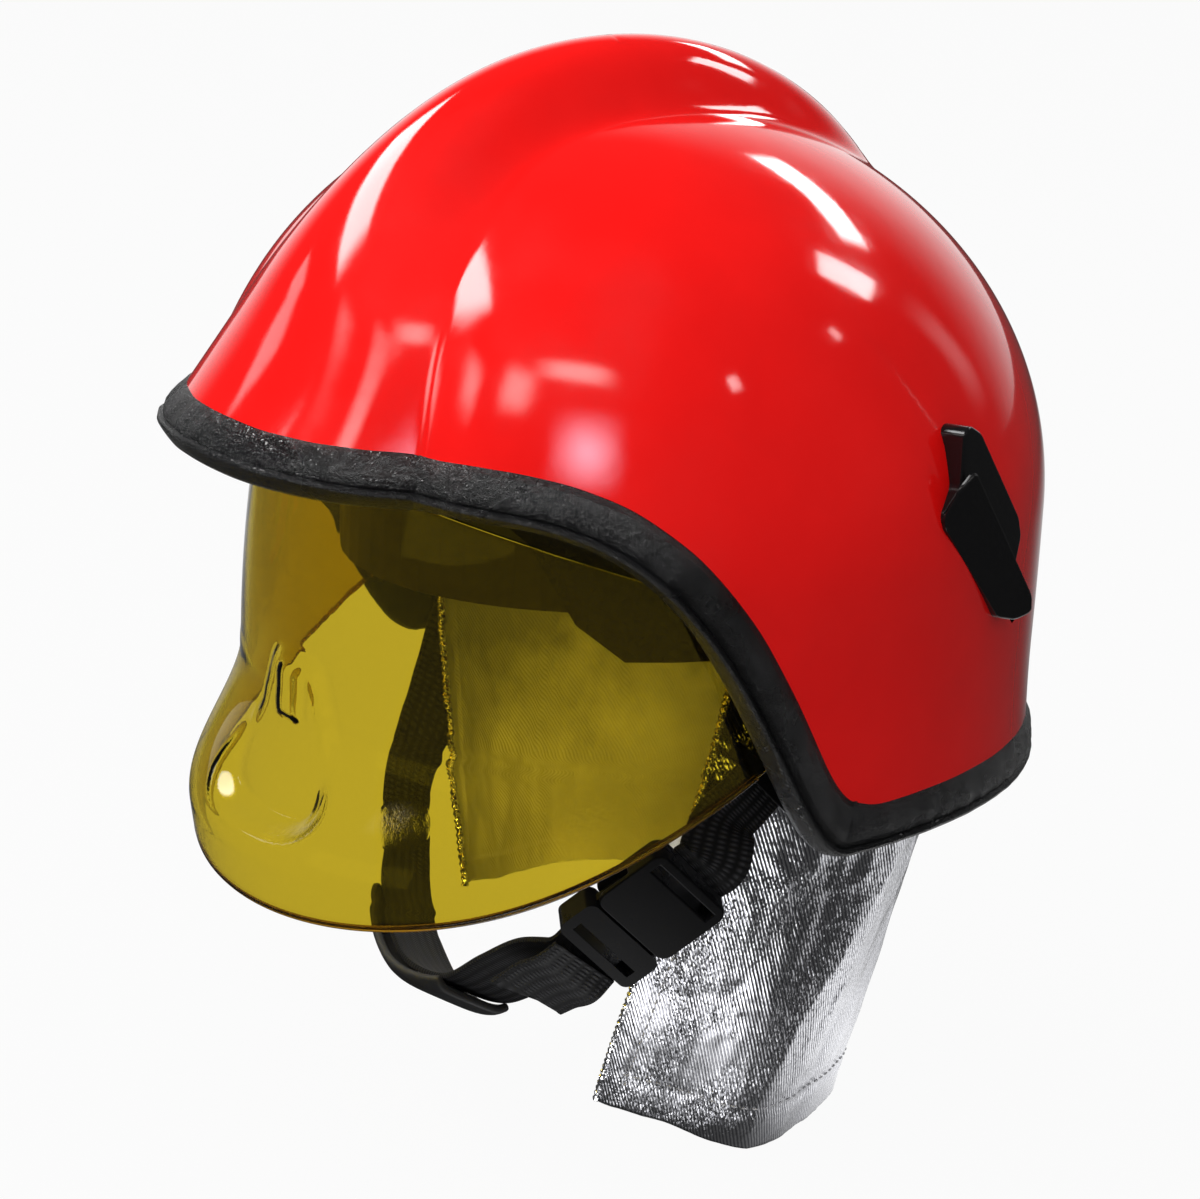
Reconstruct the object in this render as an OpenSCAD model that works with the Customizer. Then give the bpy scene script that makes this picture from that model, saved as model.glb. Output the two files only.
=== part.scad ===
// Fire helmet with a swinging visor, chin strap and neck curtain.
// The origin is under the crown, in the headband's plane, and the headband's centre is head_y behind it.
// The wearer faces -Y, the wearer's left is +X and +Z is up. Lengths are in millimetres.

/* [Outer shell] */
// Half of the shell's width
shell_half_w = 121; // [119:0.5:125]
// Length of the dome from the origin to the front
shell_front = 118; // [114:0.5:122]
// Length of the dome from the origin to the back
shell_rear = 149; // [146:0.5:154]
// Height of the dome above the headband's plane
shell_up = 122.5; // [120:0.5:127]
// Depth of the long ellipse that the side walls follow below the headband's plane
shell_down = 510; // [420:10:700]
// Wall of the shell
shell_wall = 3; // [2.5:0.1:3.4]

/* [Shell edge] */
// Height of the brim's edge at the front
brim_z = 33; // [30:0.5:35]
// Height of the ear flaps' lower edge
flap_z = -75.4; // [-80:0.2:-72]
// How far the edge drops from the brim's middle to its sides
brim_dip = 3.1; // [0:0.1:5]
// How far the edge drops from the ear flaps to the nape
nape_drop = 3.2; // [0:0.1:6]
// Azimuth at which the brim starts to turn down
flap_start = 18.5; // [16:0.5:22]
// Azimuth of the ear flap's lower corner
flap_end = 96.4; // [93:0.2:99]
// How late the edge turns down between those azimuths
flap_turn = 2.72; // [2.4:0.02:3]
// How far the brim flares outward in its middle
brim_flare = 9; // [6:0.5:12]
// Azimuth at which the brim's flare has run out
brim_flare_end = 50; // [40:1:60]
// How far the nape flares outward
nape_flare = 2; // [0:0.2:3]
// Height over which the edge flares
flare_band = 35; // [25:1:45]

/* [Crest] */
// Height of the comb over the crown
crest_h = 18.5; // [12:0.5:22]
// Height of the comb at the brim
crest_brim_h = 9.2; // [6:0.2:11]
// Half of the comb's width at the crown
crest_top_w = 23; // [18:0.5:30]
// Half of the comb's width at the brim
crest_brim_w = 60; // [50:1:66]
// Half of the comb's width at its rear end
crest_end_w = 15; // [10:0.5:20]
// Angle over the crown, from the front, at which the comb ends
crest_end = 136.5; // [130:0.5:145]
// Depth of the crease beside the comb at the brim
crease_depth = 3; // [0:0.2:4]
// Width of that crease
crease_w = 12; // [8:0.5:16]

/* [Edge trim] */
// Height of the trim on the shell's outside, above the edge
trim_lip = 11.5; // [9:0.5:14]
// Height of the trim on the shell's inside, above the edge
trim_inner_lip = 9; // [7:0.5:11]
// How far the trim stands out from the shell
trim_bulge = 4.8; // [3:0.2:6]
// Wall of the trim inside the shell
trim_inner_wall = 3.2; // [2:0.2:3.6]
// Depth of the trim below the shell's edge
trim_foot = 5.2; // [3.5:0.2:7]
// Space between the shell and the trim's slot
trim_clearance = 0.5; // [0.3:0.05:0.6]

/* [Visor] */
// Space between the shell's side and the middle of the lens's wall
lens_gap = 12.5; // [12:0.5:14.5]
// Depth of the lens in front of its side tabs
lens_depth = 94.3; // [90:0.2:97]
// Place of the lens's widest section behind the origin
lens_y = -8; // [-10:0.5:-6]
// Height of the lens's most forward point
lens_belly_z = -40.7; // [-46:0.5:-36]
// Radius of the lens seen from the side
lens_side_r = 304; // [260:2:400]
// Wall of the lens
lens_wall = 2.5; // [2:0.1:3]
// Height of the lens's upper edge in the middle
lens_top_z = 22; // [18:0.5:24]
// Height of the lens's upper edge at its sides
lens_side_top_z = -9; // [-12:0.5:-7]
// Height of the lens's lower edge in the middle
lens_bottom_z = -109.5; // [-114:0.5:-106]
// How far the lower edge rises towards the sides
lens_bottom_rise = 56.5; // [54:0.5:58]
// Height at which the lower part starts to flare
lens_flare_z = -51.3; // [-56:0.5:-48]
// Height over which it flares
lens_flare_band = 45; // [40:1:52]
// How far the middle of the lower edge flares forward
lens_flare = 24; // [20:0.5:26]
// How far the raised nose panel stands out
nose_h = 5; // [3:0.5:7]
// Half of the nose panel's width at its foot
nose_foot_w = 22; // [18:1:26]
// Half of the nose panel's width at its top
nose_top_w = 10; // [8:1:13]
// Height of the nose panel's centre
nose_z = -63; // [-66:1:-60]
// Half of the nose panel's height
nose_half_h = 22; // [18:1:24]
// Length of the straight tab behind the lens's widest section
tab_len = 12; // [10:0.5:13]
// Place of the visor's pivot behind the origin
pivot_y = 12; // [10:0.5:14]
// Height of the visor's pivot
pivot_z = -5; // [-7:0.5:-3]
// Radius of the pivot pins
pivot_r = 4; // [3:0.25:5]
// Space between a pivot pin and its bore
pivot_fit = 0.05; // [0.02:0.01:0.1]
// Thickness of the visor arms
arm_t = 2.5; // [2:0.1:3]
// Radius of the visor arms round the pivot
arm_r = 13; // [11:0.5:14]
// Thickness of the friction washers
washer_t = 3; // [2.8:0.1:3.2]
// Radius of the screws that join lens and arms
lens_screw_r = 1.5; // [1:0.1:2]

/* [Head seat] */
// Half of the head's width inside the headband
head_half_w = 75; // [72:0.5:76]
// Half of the head's length inside the headband
head_half_l = 94; // [91:0.5:96]
// Centre of the headband behind the origin
head_y = 18; // [17:0.5:19]
// Height of the cradle above the headband's plane
cradle_up = 83; // [80:0.5:86]
// Height of the headband
band_h = 28; // [24:1:30]
// Thickness of the headband
band_t = 2.2; // [1.6:0.1:2.4]
// Thickness of the sweatband
sweatband_t = 3; // [2:0.2:4]
// Width of the webbing over the crown
cradle_w = 16; // [14:1:20]
// Thickness of the webbing over the crown
cradle_t = 1.2; // [1:0.1:1.3]

/* [Impact liner] */
// Space between the head and the liner at the sides
liner_side_gap = 7; // [6.5:0.5:8]
// Height of the liner's inside above the headband's plane
liner_up = 92; // [90:0.5:96]
// Space between the middle of the lens's wall and the liner
liner_gap = 8.5; // [7.5:0.5:11.5]
// Radius of the liner about the visor's pivot
liner_swing_r = 104; // [102:0.5:106]
// Height of the liner's edge at the front and at the nape
liner_edge_z = 20; // [18:0.5:22]
// Height of the liner's edge at the sides
liner_side_z = -22; // [-24:0.5:-20]

/* [Size adjuster] */
// Radius of the pinion's pitch circle
pinion_r = 5; // [4.8:0.1:5.2]
// Teeth of the pinion
pinion_teeth = 8; // [8:1:8]
// Thickness of the racks
rack_t = 1.9; // [1.6:0.1:2]
// Half of the adjuster housing's width
housing_half_w = 19; // [18:0.5:20]
// Half of the adjuster housing's height
housing_half_h = 15; // [14:0.5:16]
// Depth of the adjuster housing
housing_d = 11; // [10:0.5:12]
// Radius of the adjuster knob
knob_r = 14; // [12:0.5:15]
// Depth of the adjuster knob
knob_d = 10; // [8:0.5:11]
// Radius of the knob's shaft
knob_shaft_r = 4; // [3:0.25:4.5]
// Space round the knob's shaft
knob_fit = 0.08; // [0.04:0.01:0.1]

/* [Lamp bracket] */
// Thickness of the bracket's plate
bracket_plate_t = 3; // [2.5:0.1:3.5]
// Height of the space under the bracket's lip
bracket_channel = 4.4; // [4.2:0.1:5]
// Thickness of the bracket's lip
bracket_lip_t = 2.6; // [2:0.1:3]
// Radius of the bracket's screws
bracket_screw_r = 2; // [1.5:0.1:2.2]

/* [Chin strap] */
// Width of the webbing
web_w = 24; // [20:0.5:25]
// Thickness of the webbing
web_t = 1.8; // [1.4:0.1:2]
// Radius of the bars that carry the webbing
bar_r = 2; // [1.8:0.1:2.2]
// Width of the buckle
buckle_w = 32; // [30:0.5:34]
// Thickness of the buckle
buckle_t = 9.6; // [9.2:0.2:11]
// Length of the buckle's tongue inside its socket
tongue_len = 12; // [10:0.5:12.5]
// Space round the tongue in its socket
tongue_clearance = 1.2; // [1.1:0.1:1.4]
// Thickness of the chin cup
cup_t = 4.5; // [3.5:0.5:6]
// Width of the chin cup
cup_w = 34; // [30:1:38]

/* [Neck curtain] */
// Thickness of the curtain
curtain_t = 2; // [1.6:0.1:2.4]
// Height of the curtain's upper edge
curtain_top_z = -24; // [-26:0.5:-23.5]
// Height of the curtain's front corners
curtain_front_z = -190.5; // [-194:0.5:-186]
// Height of the curtain's lower edge at the sides and the back
curtain_back_z = -201.5; // [-206:0.5:-196]
// How much shorter the curtain hangs on the wearer's right
curtain_rise = 46; // [0:1:50]
// Space between the shell's side and the curtain's upper edge
curtain_side_gap = 27; // [26.5:0.5:29]
// Half of the curtain's length at its upper edge
curtain_top_l = 90; // [87:0.5:91]
// Half of the curtain's width at its hem
curtain_low_w = 58; // [56:0.5:62]
// Half of the curtain's length at its hem
curtain_low_l = 50; // [46:0.5:54]
// Height of the main folds at the lower edge
fold_h = 4; // [2:0.5:5]
// Thickness of the band that holds the curtain
rail_t = 2.4; // [2:0.1:2.6]
// Height of that band
rail_h = 18; // [15:1:20]

/* [Hidden] */
$fn = 36;

lens_half_w = shell_half_w - lens_gap;
liner_half_w = lens_half_w - liner_gap;
curtain_top_w = shell_half_w - curtain_side_gap;

// Shared arithmetic
function smooth(t) = let (c = min(max(t, 0), 1)) c * c * (3 - 2 * c);
function mix(a, b, t) = a + (b - a) * t;
function unit(v) = v / norm(v);
function square_to(v, axis) = unit(v - (v * axis) * axis);
function mirrored(half) = concat(half, [for (i = [len(half) - 2:-1:1]) -half[i]]);
function flat_list(rows) = [for (row = rows) for (p = row) p];

// Curve through a list of points, for u from 0 to 1
function spline_part(a, b, c, d, t) = 0.5 * (2 * b + (c - a) * t + (2 * a - 5 * b + 4 * c - d) * t * t
    + (3 * b - a - 3 * c + d) * t * t * t);
function spline(points, u) =
    let (n = len(points) - 1, k = min(floor(u * n), n - 1), t = u * n - k)
    spline_part(k > 0 ? points[k - 1] : 2 * points[0] - points[1], points[k], points[k + 1],
        k < n - 1 ? points[k + 2] : 2 * points[n] - points[n - 1], t);

// Faces of a closed tube of rings, joined at its ends or closed by two tips
function four_sided(p, a, b, c, d) = norm(p[a] - p[c]) < norm(p[b] - p[d]) + 0.0001
    ? [[a, b, c], [a, c, d]] : [[a, b, d], [b, c, d]];
function tube_side(p, rings, sides) = [for (i = [0:rings - 2]) for (j = [0:sides - 1])
    let (a = i * sides + j, b = i * sides + (j + 1) % sides)
    each four_sided(p, a, b, b + sides, a + sides)];
function loop_faces(p, rings, sides) = [for (i = [0:rings - 1]) for (j = [0:sides - 1])
    let (n = (i + 1) % rings, k = (j + 1) % sides)
    each four_sided(p, i * sides + j, n * sides + j, n * sides + k, i * sides + k)];
function tip_faces(ring, sides, tip, turn) = [for (j = [0:sides - 1])
    let (a = ring * sides + j, b = ring * sides + (j + 1) % sides) turn ? [tip, b, a] : [tip, a, b]];

// A thick sheet from two equal grids of points, front and back
module sheet(front, back) {
    n = len(front);
    m = len(front[0]);
    size = n * m;
    points = concat(flat_list(front), flat_list(back));
    faces = concat(
        [for (i = [0:n - 2]) for (j = [0:m - 2]) let (a = i * m + j)
            each four_sided(points, a, a + m, a + m + 1, a + 1)],
        [for (i = [0:n - 2]) for (j = [0:m - 2]) let (a = size + i * m + j)
            each four_sided(points, a, a + 1, a + m + 1, a + m)],
        [for (i = [0:n - 2]) for (side = [0, m - 1]) for (half = [0, 1])
            let (a = i * m + side, b = a + m, turn = side > 0)
            half == 0 ? (turn ? [a, b, b + size] : [b, a, b + size])
                : (turn ? [a, b + size, a + size] : [b + size, a, a + size])],
        [for (j = [0:m - 2]) for (end = [0, n - 1]) for (half = [0, 1])
            let (a = end * m + j, b = a + 1, turn = end > 0)
            half == 0 ? (turn ? [b, a, b + size] : [a, b, b + size])
                : (turn ? [b + size, a, a + size] : [a, b + size, a + size])]);
    polyhedron(points = points, faces = faces, convexity = 8);
}

// A flat strap along a list of points, with its outward side given at each point
module strap(path, outward, width, thickness, rings) {
    centre = [for (i = [0:rings]) spline(path, i / rings)];
    along = [for (i = [0:rings]) unit(centre[min(i + 1, rings)] - centre[max(i - 1, 0)])];
    out = [for (i = [0:rings]) square_to(spline(outward, i / rings), along[i])];
    across = [for (i = [0:rings]) cross(along[i], out[i])];
    section = [[-1, -1], [1, -1], [1, 1], [-1, 1]];
    points = [for (i = [0:rings]) for (s = section)
        centre[i] + across[i] * s.x * width / 2 + out[i] * s.y * thickness / 2];
    ends = [[0, 3, 2], [0, 2, 1]];
    last = rings * 4;
    polyhedron(points = points, faces = concat(tube_side(points, rings + 1, 4), ends,
        [for (f = ends) [last + f[0], last + f[2], last + f[1]]]), convexity = 6);
}

// Places children in a frame given by its origin and its second and third axes
module in_frame(origin, y_axis, z_axis) {
    x_axis = cross(y_axis, z_axis);
    multmatrix([
        [x_axis.x, y_axis.x, z_axis.x, origin.x],
        [x_axis.y, y_axis.y, z_axis.y, origin.y],
        [x_axis.z, y_axis.z, z_axis.z, origin.z]]) children();
}

// A plate with round corners, standing on its frame's floor
module rounded_plate(w, l, r, h) {
    linear_extrude(h) {
        square([w - 2 * r, l], center = true);
        square([w, l - 2 * r], center = true);
        for (x = [-1, 1], y = [-1, 1]) {
            translate([x * (w / 2 - r), y * (l / 2 - r)]) circle(r);
        }
    }
}

// Extrudes an outline drawn in Y and Z along X
module along_x(x, length) {
    translate([x, 0, 0]) rotate([90, 0, 90]) linear_extrude(length) children();
}

// Cylinder along X
module x_cylinder(x, length, r) {
    translate([x, 0, 0]) rotate([0, 90, 0]) cylinder(h = length, r = r);
}

// Shape of the dome, its comb and its flared edge, by azimuth from the front and elevation
function direction(azimuth, elevation) =
    [sin(azimuth) * cos(elevation), -cos(azimuth) * cos(elevation), sin(elevation)];
function dome_radius(d) =
    let (level = max(norm([d.x, d.y]), 0.000001),
        length = mix(shell_front, shell_rear, smooth(0.5 + 0.5 * d.y / level)),
        height = d.z > 0 ? shell_up : shell_down)
    1 / sqrt(pow(d.x / shell_half_w, 2) + pow(d.y / length, 2) + pow(d.z / height, 2));
function over_crown(p) = let (a = atan2(p.z, -p.y)) a < -90 ? a + 360 : a;
function comb_height(s) = s < 90 ? mix(crest_brim_h, crest_h, smooth((s - 10) / 70))
    : crest_h * pow(max(1 - pow(min((s - 90) / (crest_end - 90), 1), 2), 0), 0.8);
function comb_width(s) = s < 90 ? mix(crest_brim_w, crest_top_w, smooth((s - 5) / 85))
    : mix(crest_top_w, crest_end_w, min((s - 90) / (crest_end - 90), 1));
function comb(p) =
    let (s = over_crown(p), w = comb_width(s), t = min(abs(p.x) / w, 1), k = 1 - smooth((s - 15) / 45))
    comb_height(s) * mix((1 + cos(180 * t)) / 2, 1 - t * t, k)
        - crease_depth * k * exp(-pow((abs(p.x) - w) / crease_w, 2));
function edge_z(azimuth) =
    let (a = abs(azimuth),
        t = pow(min(max((a - flap_start) / (flap_end - flap_start), 0), 1), flap_turn))
    mix(brim_z, flap_z, smooth(t)) - brim_dip * smooth(a / 40) * (1 - smooth(t))
        - nape_drop * smooth((a - 95) / 85);
function flare(azimuth, z) =
    let (a = abs(azimuth), w = min(max(1 - (z - edge_z(azimuth)) / flare_band, 0), 1.3))
    (brim_flare * (1 - smooth((a - 5) / (brim_flare_end - 5)))
        + nape_flare * smooth((a - 90) / 60)) * w * w;
function shell_point(azimuth, elevation, inset = 0) =
    let (d = direction(azimuth, elevation), r = dome_radius(d), base = r * d)
    (r + comb(base) + flare(azimuth, base.z) - inset) * d;
function edge_elevation(azimuth, low = -60, high = 60, steps = 22) =
    let (middle = (low + high) / 2)
    steps == 0 ? middle
        : shell_point(azimuth, middle).z < edge_z(azimuth)
            ? edge_elevation(azimuth, middle, high, steps - 1)
            : edge_elevation(azimuth, low, middle, steps - 1);
function shell_normal(azimuth, elevation) = unit(cross(
    shell_point(azimuth + 0.5, elevation) - shell_point(azimuth - 0.5, elevation),
    shell_point(azimuth, elevation + 0.5) - shell_point(azimuth, elevation - 0.5)));

// Azimuths of the shell's grid, closer together round the ear flaps
azimuths = mirrored(concat([for (a = [0:5:55]) a], [for (a = [58:3:100]) a], [for (a = [105:5:180]) a]));
edge_elevations = [for (a = azimuths) edge_elevation(a)];
shell_rows = 18;

module outer_shell() {
    rings = concat(
        [for (j = [shell_rows - 1:-1:0]) shell_ring(j / shell_rows, 0)],
        [for (j = [0:shell_rows - 1]) shell_ring(j / shell_rows, shell_wall)]);
    sides = len(azimuths);
    count = len(rings);
    points = concat(flat_list(rings), [shell_point(0, 90), shell_point(0, 90, shell_wall)]);
    color([0.82, 0.02, 0.02]) polyhedron(points = points,
        faces = concat(tube_side(points, count, sides), tip_faces(0, sides, count * sides, true),
            tip_faces(count - 1, sides, count * sides + 1, false)), convexity = 8);
}

// One level ring of the shell, from its edge at 0 to its crown at 1
function shell_ring(t, inset) = [for (i = [0:len(azimuths) - 1])
    shell_point(azimuths[i], mix(edge_elevations[i], 90, t), inset)];

module edge_trim() {
    n = len(azimuths);
    edge = [for (i = [0:n - 1]) shell_point(azimuths[i], edge_elevations[i])];
    normal = [for (i = [0:n - 1]) shell_normal(azimuths[i], edge_elevations[i])];
    along = [for (i = [0:n - 1]) unit(edge[(i + 1) % n] - edge[(i + n - 1) % n])];
    up = [for (i = [0:n - 1]) unit(cross(normal[i], along[i]))];
    slot_in = -shell_wall - trim_clearance;
    inner = slot_in - trim_inner_wall;
    // Outline of the trim: height above the edge, and distance out of the shell
    section = [
        [trim_lip, trim_clearance], [trim_lip - 0.5, trim_clearance + 2],
        [0.6 * trim_lip, 0.9 * trim_bulge], [0, trim_bulge],
        [-0.7 * trim_foot, 0.6 * trim_bulge], [-trim_foot, slot_in / 2],
        [-0.7 * trim_foot, 0.9 * inner], [0, inner],
        [trim_inner_lip, inner + 0.8], [trim_inner_lip, slot_in],
        [-trim_clearance, slot_in], [-trim_clearance, trim_clearance]];
    points = [for (i = [0:n - 1]) for (s = section) edge[i] + up[i] * s.x + normal[i] * s.y];
    color([0.05, 0.05, 0.055]) polyhedron(points = points, faces = loop_faces(points, n, len(section)),
        convexity = 10);
}

// Lamp bracket, in a frame on the shell: X runs across it, Y up along it and Z out of the shell
bracket_azimuth = 122.6;
bracket_elevation = 3.6;
bracket_slant = -38.6;
bracket_base = shell_point(bracket_azimuth, bracket_elevation);
bracket_out = shell_normal(bracket_azimuth, bracket_elevation);
bracket_upright = square_to([0, 0, 1], bracket_out);
bracket_side = cross(bracket_upright, bracket_out);
bracket_up = bracket_upright * cos(bracket_slant) + bracket_side * sin(bracket_slant);
bracket_seat_r = 151;
bracket_seat_gap = 0.8;
bracket_depth = 7;
bracket_holes = [[3, 24], [3, -8]];
bracket_lip_z = bracket_plate_t + bracket_channel;
bracket_head_h = 1.6;
screw_fit = 0.1;

module lamp_bracket() {
    outer_edge = [[-13, -29], [-16, -22], [-20, 30], [-18, 33]];
    plate = concat(outer_edge, [[-10, 33], [-3, 37], [4, 42], [9, 36], [9, -16], [7, -19], [2, -21],
        [-2, -30], [-6, -32]]);
    lip = concat(outer_edge, [[-10, 33], [-2.5, 36], [-1, 30], [-1, -28], [-3, -31], [-7, -32]]);
    wall = concat(outer_edge, [[-12, 33], [-9, 20], [-7, -31]]);
    color([0.03, 0.03, 0.03]) difference() {
        in_frame(bracket_base, bracket_up, bracket_out) difference() {
            union() {
                translate([0, 0, -bracket_depth])
                    linear_extrude(bracket_plate_t + bracket_depth) polygon(plate);
                linear_extrude(bracket_lip_z) polygon(wall);
                translate([0, 0, bracket_lip_z]) linear_extrude(bracket_lip_t) polygon(lip);
            }
            for (hole = bracket_holes) {
                translate([hole.x, hole.y, -2 * bracket_depth])
                    cylinder(h = 3 * bracket_depth, r = bracket_screw_r + screw_fit);
                translate([hole.x, hole.y, bracket_plate_t - bracket_head_h])
                    cylinder(h = 2 * bracket_head_h, r = 2 * bracket_screw_r + screw_fit);
            }
        }
        bracket_seat();
    }
}

// The shape of the shell under the bracket, turned about an upright axis
module bracket_seat() {
    level = [for (e = [-16:2:26]) let (p = shell_point(bracket_azimuth, e)) [norm([p.x, p.y]), p.z]];
    base = norm([bracket_base.x, bracket_base.y]);
    flat_out = unit([bracket_out.x, bracket_out.y]);
    profile = [for (p = level) [bracket_seat_r + bracket_seat_gap + p.x - base, p.y]];
    centre = [bracket_base.x, bracket_base.y] - bracket_seat_r * flat_out;
    last = profile[len(profile) - 1];
    translate([centre.x, centre.y, 0])
        rotate_extrude($fn = 96) polygon(concat([[0, profile[0].y]], profile, [[0, last.y]]));
}

module lamp_bracket_screws() {
    color([0.6, 0.6, 0.62]) in_frame(bracket_base, bracket_up, bracket_out) {
        for (hole = bracket_holes) {
            translate([hole.x, hole.y, bracket_seat_gap + screw_fit])
                cylinder(h = bracket_plate_t - 0.5, r = bracket_screw_r);
            translate([hole.x, hole.y, bracket_plate_t - bracket_head_h + 0.05])
                cylinder(h = bracket_head_h - 0.1, r = 2 * bracket_screw_r);
        }
    }
}

// Impact liner: inside the visor's swing at the front, against the shell at the back
function ray_to_ellipsoid(d, c, semi) =
    let (e = [d.x / semi.x, d.y / semi.y, d.z / semi.z], o = [c.x / semi.x, c.y / semi.y, c.z / semi.z],
        a = e * e, b = e * o)
    (b + sqrt(b * b - a * (o * o - 1))) / a;
liner_seat = shell_wall + 0.4;
liner_mid_r = 110;
function liner_outer(d) =
    let (behind = atan2(d.z * liner_mid_r - pivot_z, pivot_y - d.y * liner_mid_r),
        turn = behind < -90 ? behind + 360 : behind,
        side = [d.y, d.z] * liner_mid_r / max(abs(d.x), 0.01),
        near = norm(side - [pivot_y + 8, pivot_z]))
    mix(ray_to_ellipsoid(d, [0, pivot_y, pivot_z], [liner_half_w, liner_swing_r, liner_swing_r]),
        dome_radius(d) - liner_seat, smooth((turn - 60) / 30) * smooth((near - 38) / 14));
function liner_inner(d) = ray_to_ellipsoid(d, [0, head_y, 0],
    [head_half_w + liner_side_gap, head_half_l + liner_side_gap, liner_up]);
function liner_edge(azimuth) =
    let (a = abs(azimuth))
    mix(liner_edge_z, liner_side_z, smooth((a - 38) / 24) * (1 - smooth((a - 118) / 27)));
function liner_point(azimuth, t, outer) =
    let (start = asin(liner_edge(azimuth) / liner_mid_r), d = direction(azimuth, mix(start, 90, t)),
        r = outer ? liner_outer(d) : liner_inner(d))
    t == 0 ? [d.x * r, d.y * r, liner_edge(azimuth)] : d * r;

module impact_liner() {
    angles = mirrored(concat([for (a = [0:9:180]) a]));
    rows = 11;
    rings = concat(
        [for (j = [rows - 1:-1:0]) [for (a = angles) liner_point(a, j / rows, true)]],
        [for (j = [0:rows - 1]) [for (a = angles) liner_point(a, j / rows, false)]]);
    sides = len(angles);
    count = len(rings);
    points = concat(flat_list(rings), [liner_point(0, 1, true), liner_point(0, 1, false)]);
    color([0.12, 0.12, 0.13]) polyhedron(points = points,
        faces = concat(tube_side(points, count, sides), tip_faces(0, sides, count * sides, true),
            tip_faces(count - 1, sides, count * sides + 1, false)), convexity = 8);
}

module crown_pad() {
    top = liner_up - crown_pad_z - 0.7;
    color([0.16, 0.16, 0.17]) translate([0, head_y, crown_pad_z]) rotate_extrude()
        polygon([[0, 0], [15, -0.9], [30, -3.9], [32, -3.7], [31, -3], [16, 0.7], [0, top]]);
}

// Headband and cradle
cradle_gap = 0.2;
crown_pad_z = cradle_up + 2 * (cradle_t + cradle_gap) + cradle_t / 2 + 0.8;
function band_point(azimuth, offset) =
    [(head_half_w + offset) * sin(azimuth), head_y - (head_half_l + offset) * cos(azimuth)];
function band_strip(from, to, inner, outer, n) = concat(
    [for (i = [0:n]) band_point(mix(from, to, i / n), inner)],
    [for (i = [n:-1:0]) band_point(mix(from, to, i / n), outer)]);
band_end = 162;
clip_h = 18;
clip_azimuths = [67, 113, 247, 293];

module headband() {
    color([0.1, 0.1, 0.11]) translate([0, 0, -band_h / 2])
        linear_extrude(band_h) polygon(band_strip(-band_end, band_end, 0, band_t, 60));
}

// Clips that carry the headband inside the liner
module headband_clips() {
    color([0.2, 0.2, 0.22]) for (a = clip_azimuths) {
        translate([0, 0, -clip_h / 2]) linear_extrude(clip_h)
            polygon(band_strip(a - 5, a + 5, band_t + 0.1, liner_side_gap - 1.2, 4));
    }
}

module sweatband() {
    color([0.07, 0.06, 0.06]) translate([0, 0, 1.5 - band_h / 2])
        linear_extrude(band_h - 3) polygon(band_strip(-78, 78, -sweatband_t, -0.1, 30));
}

// Webbing from the headband over the crown, one strap lying on the next
module cradle_webbing() {
    for (k = [0:2]) {
        turn = 45 + 45 * k;
        color([0.09, 0.09, 0.1]) strap(
            [for (i = [0:20]) cradle_point(turn, 7 + (180 - 14) * i / 20, k)],
            [for (i = [0:20]) let (p = cradle_point(turn, 7 + (180 - 14) * i / 20, k) - [0, head_y, 0])
                unit([p.x / pow(head_half_w, 2), p.y / pow(head_half_l, 2), p.z / pow(cradle_up, 2)])],
            cradle_w, cradle_t, 22);
    }
}

function cradle_point(azimuth, climb, layer) =
    let (lift = layer * (cradle_t + cradle_gap) * smooth(sin(climb) * 2 - 0.9),
        low = min(climb, 180 - climb),
        inset = lift + mix(band_t + cradle_t + 1.1, -cradle_t / 2 - 0.1, smooth((low - 14) / 18)))
    [(head_half_w + inset) * sin(azimuth) * cos(climb),
        head_y - (head_half_l + inset) * cos(azimuth) * cos(climb),
        (cradle_up + lift) * sin(climb)];

// Size adjuster behind the headband
adjuster_y = head_y + head_half_l + band_t - 3;
cover_t = 2;
rack_y = adjuster_y + cover_t + 0.4;
rack_h = 4;
rack_bend = 163.5;
rack_end_span = 16.5;
tooth_h = 0.95;
tooth_pitch = 2 * 180 * pinion_r * 0.01745329252 / pinion_teeth;
housing_y = adjuster_y + cover_t;
knob_y = housing_y + housing_d + 0.3;
cavity_d = rack_t + 0.8;

module adjuster_cover() {
    color([0.08, 0.08, 0.09]) translate([0, adjuster_y + cover_t, 0]) rotate([90, 0, 0])
        rounded_plate(2 * housing_half_w, 2 * housing_half_h, 4, cover_t);
}

module adjuster_housing() {
    color([0.07, 0.07, 0.08]) difference() {
        translate([0, housing_y + housing_d, 0]) rotate([90, 0, 0])
            rounded_plate(2 * housing_half_w, 2 * housing_half_h, 4, housing_d);
        // Space for the racks, open at both sides
        translate([-housing_half_w - 1, housing_y - 0.1, -rack_space])
            cube([2 * housing_half_w + 2, cavity_d + 0.1, 2 * rack_space]);
        translate([0, housing_y - 1, 0]) rotate([-90, 0, 0])
            cylinder(h = housing_d + 2, r = knob_shaft_r + knob_fit);
    }
}

rack_space = pinion_r + tooth_h + rack_h + 1.2;

module adjuster_knob() {
    color([0.06, 0.06, 0.07]) difference() {
        union() {
            translate([0, knob_y, 0]) rotate([-90, 0, 0]) cylinder(h = knob_d, r = knob_r);
            translate([0, housing_y + cavity_d + 0.1, 0]) rotate([-90, 0, 0])
                cylinder(h = knob_y - housing_y - cavity_d, r = knob_shaft_r);
        }
        for (a = [0:30:330]) {
            rotate([0, a, 0]) translate([knob_r + 1.2, knob_y - 1, 0]) rotate([-90, 0, 0])
                cylinder(h = knob_d + 2, r = 2.4);
        }
    }
}

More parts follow.
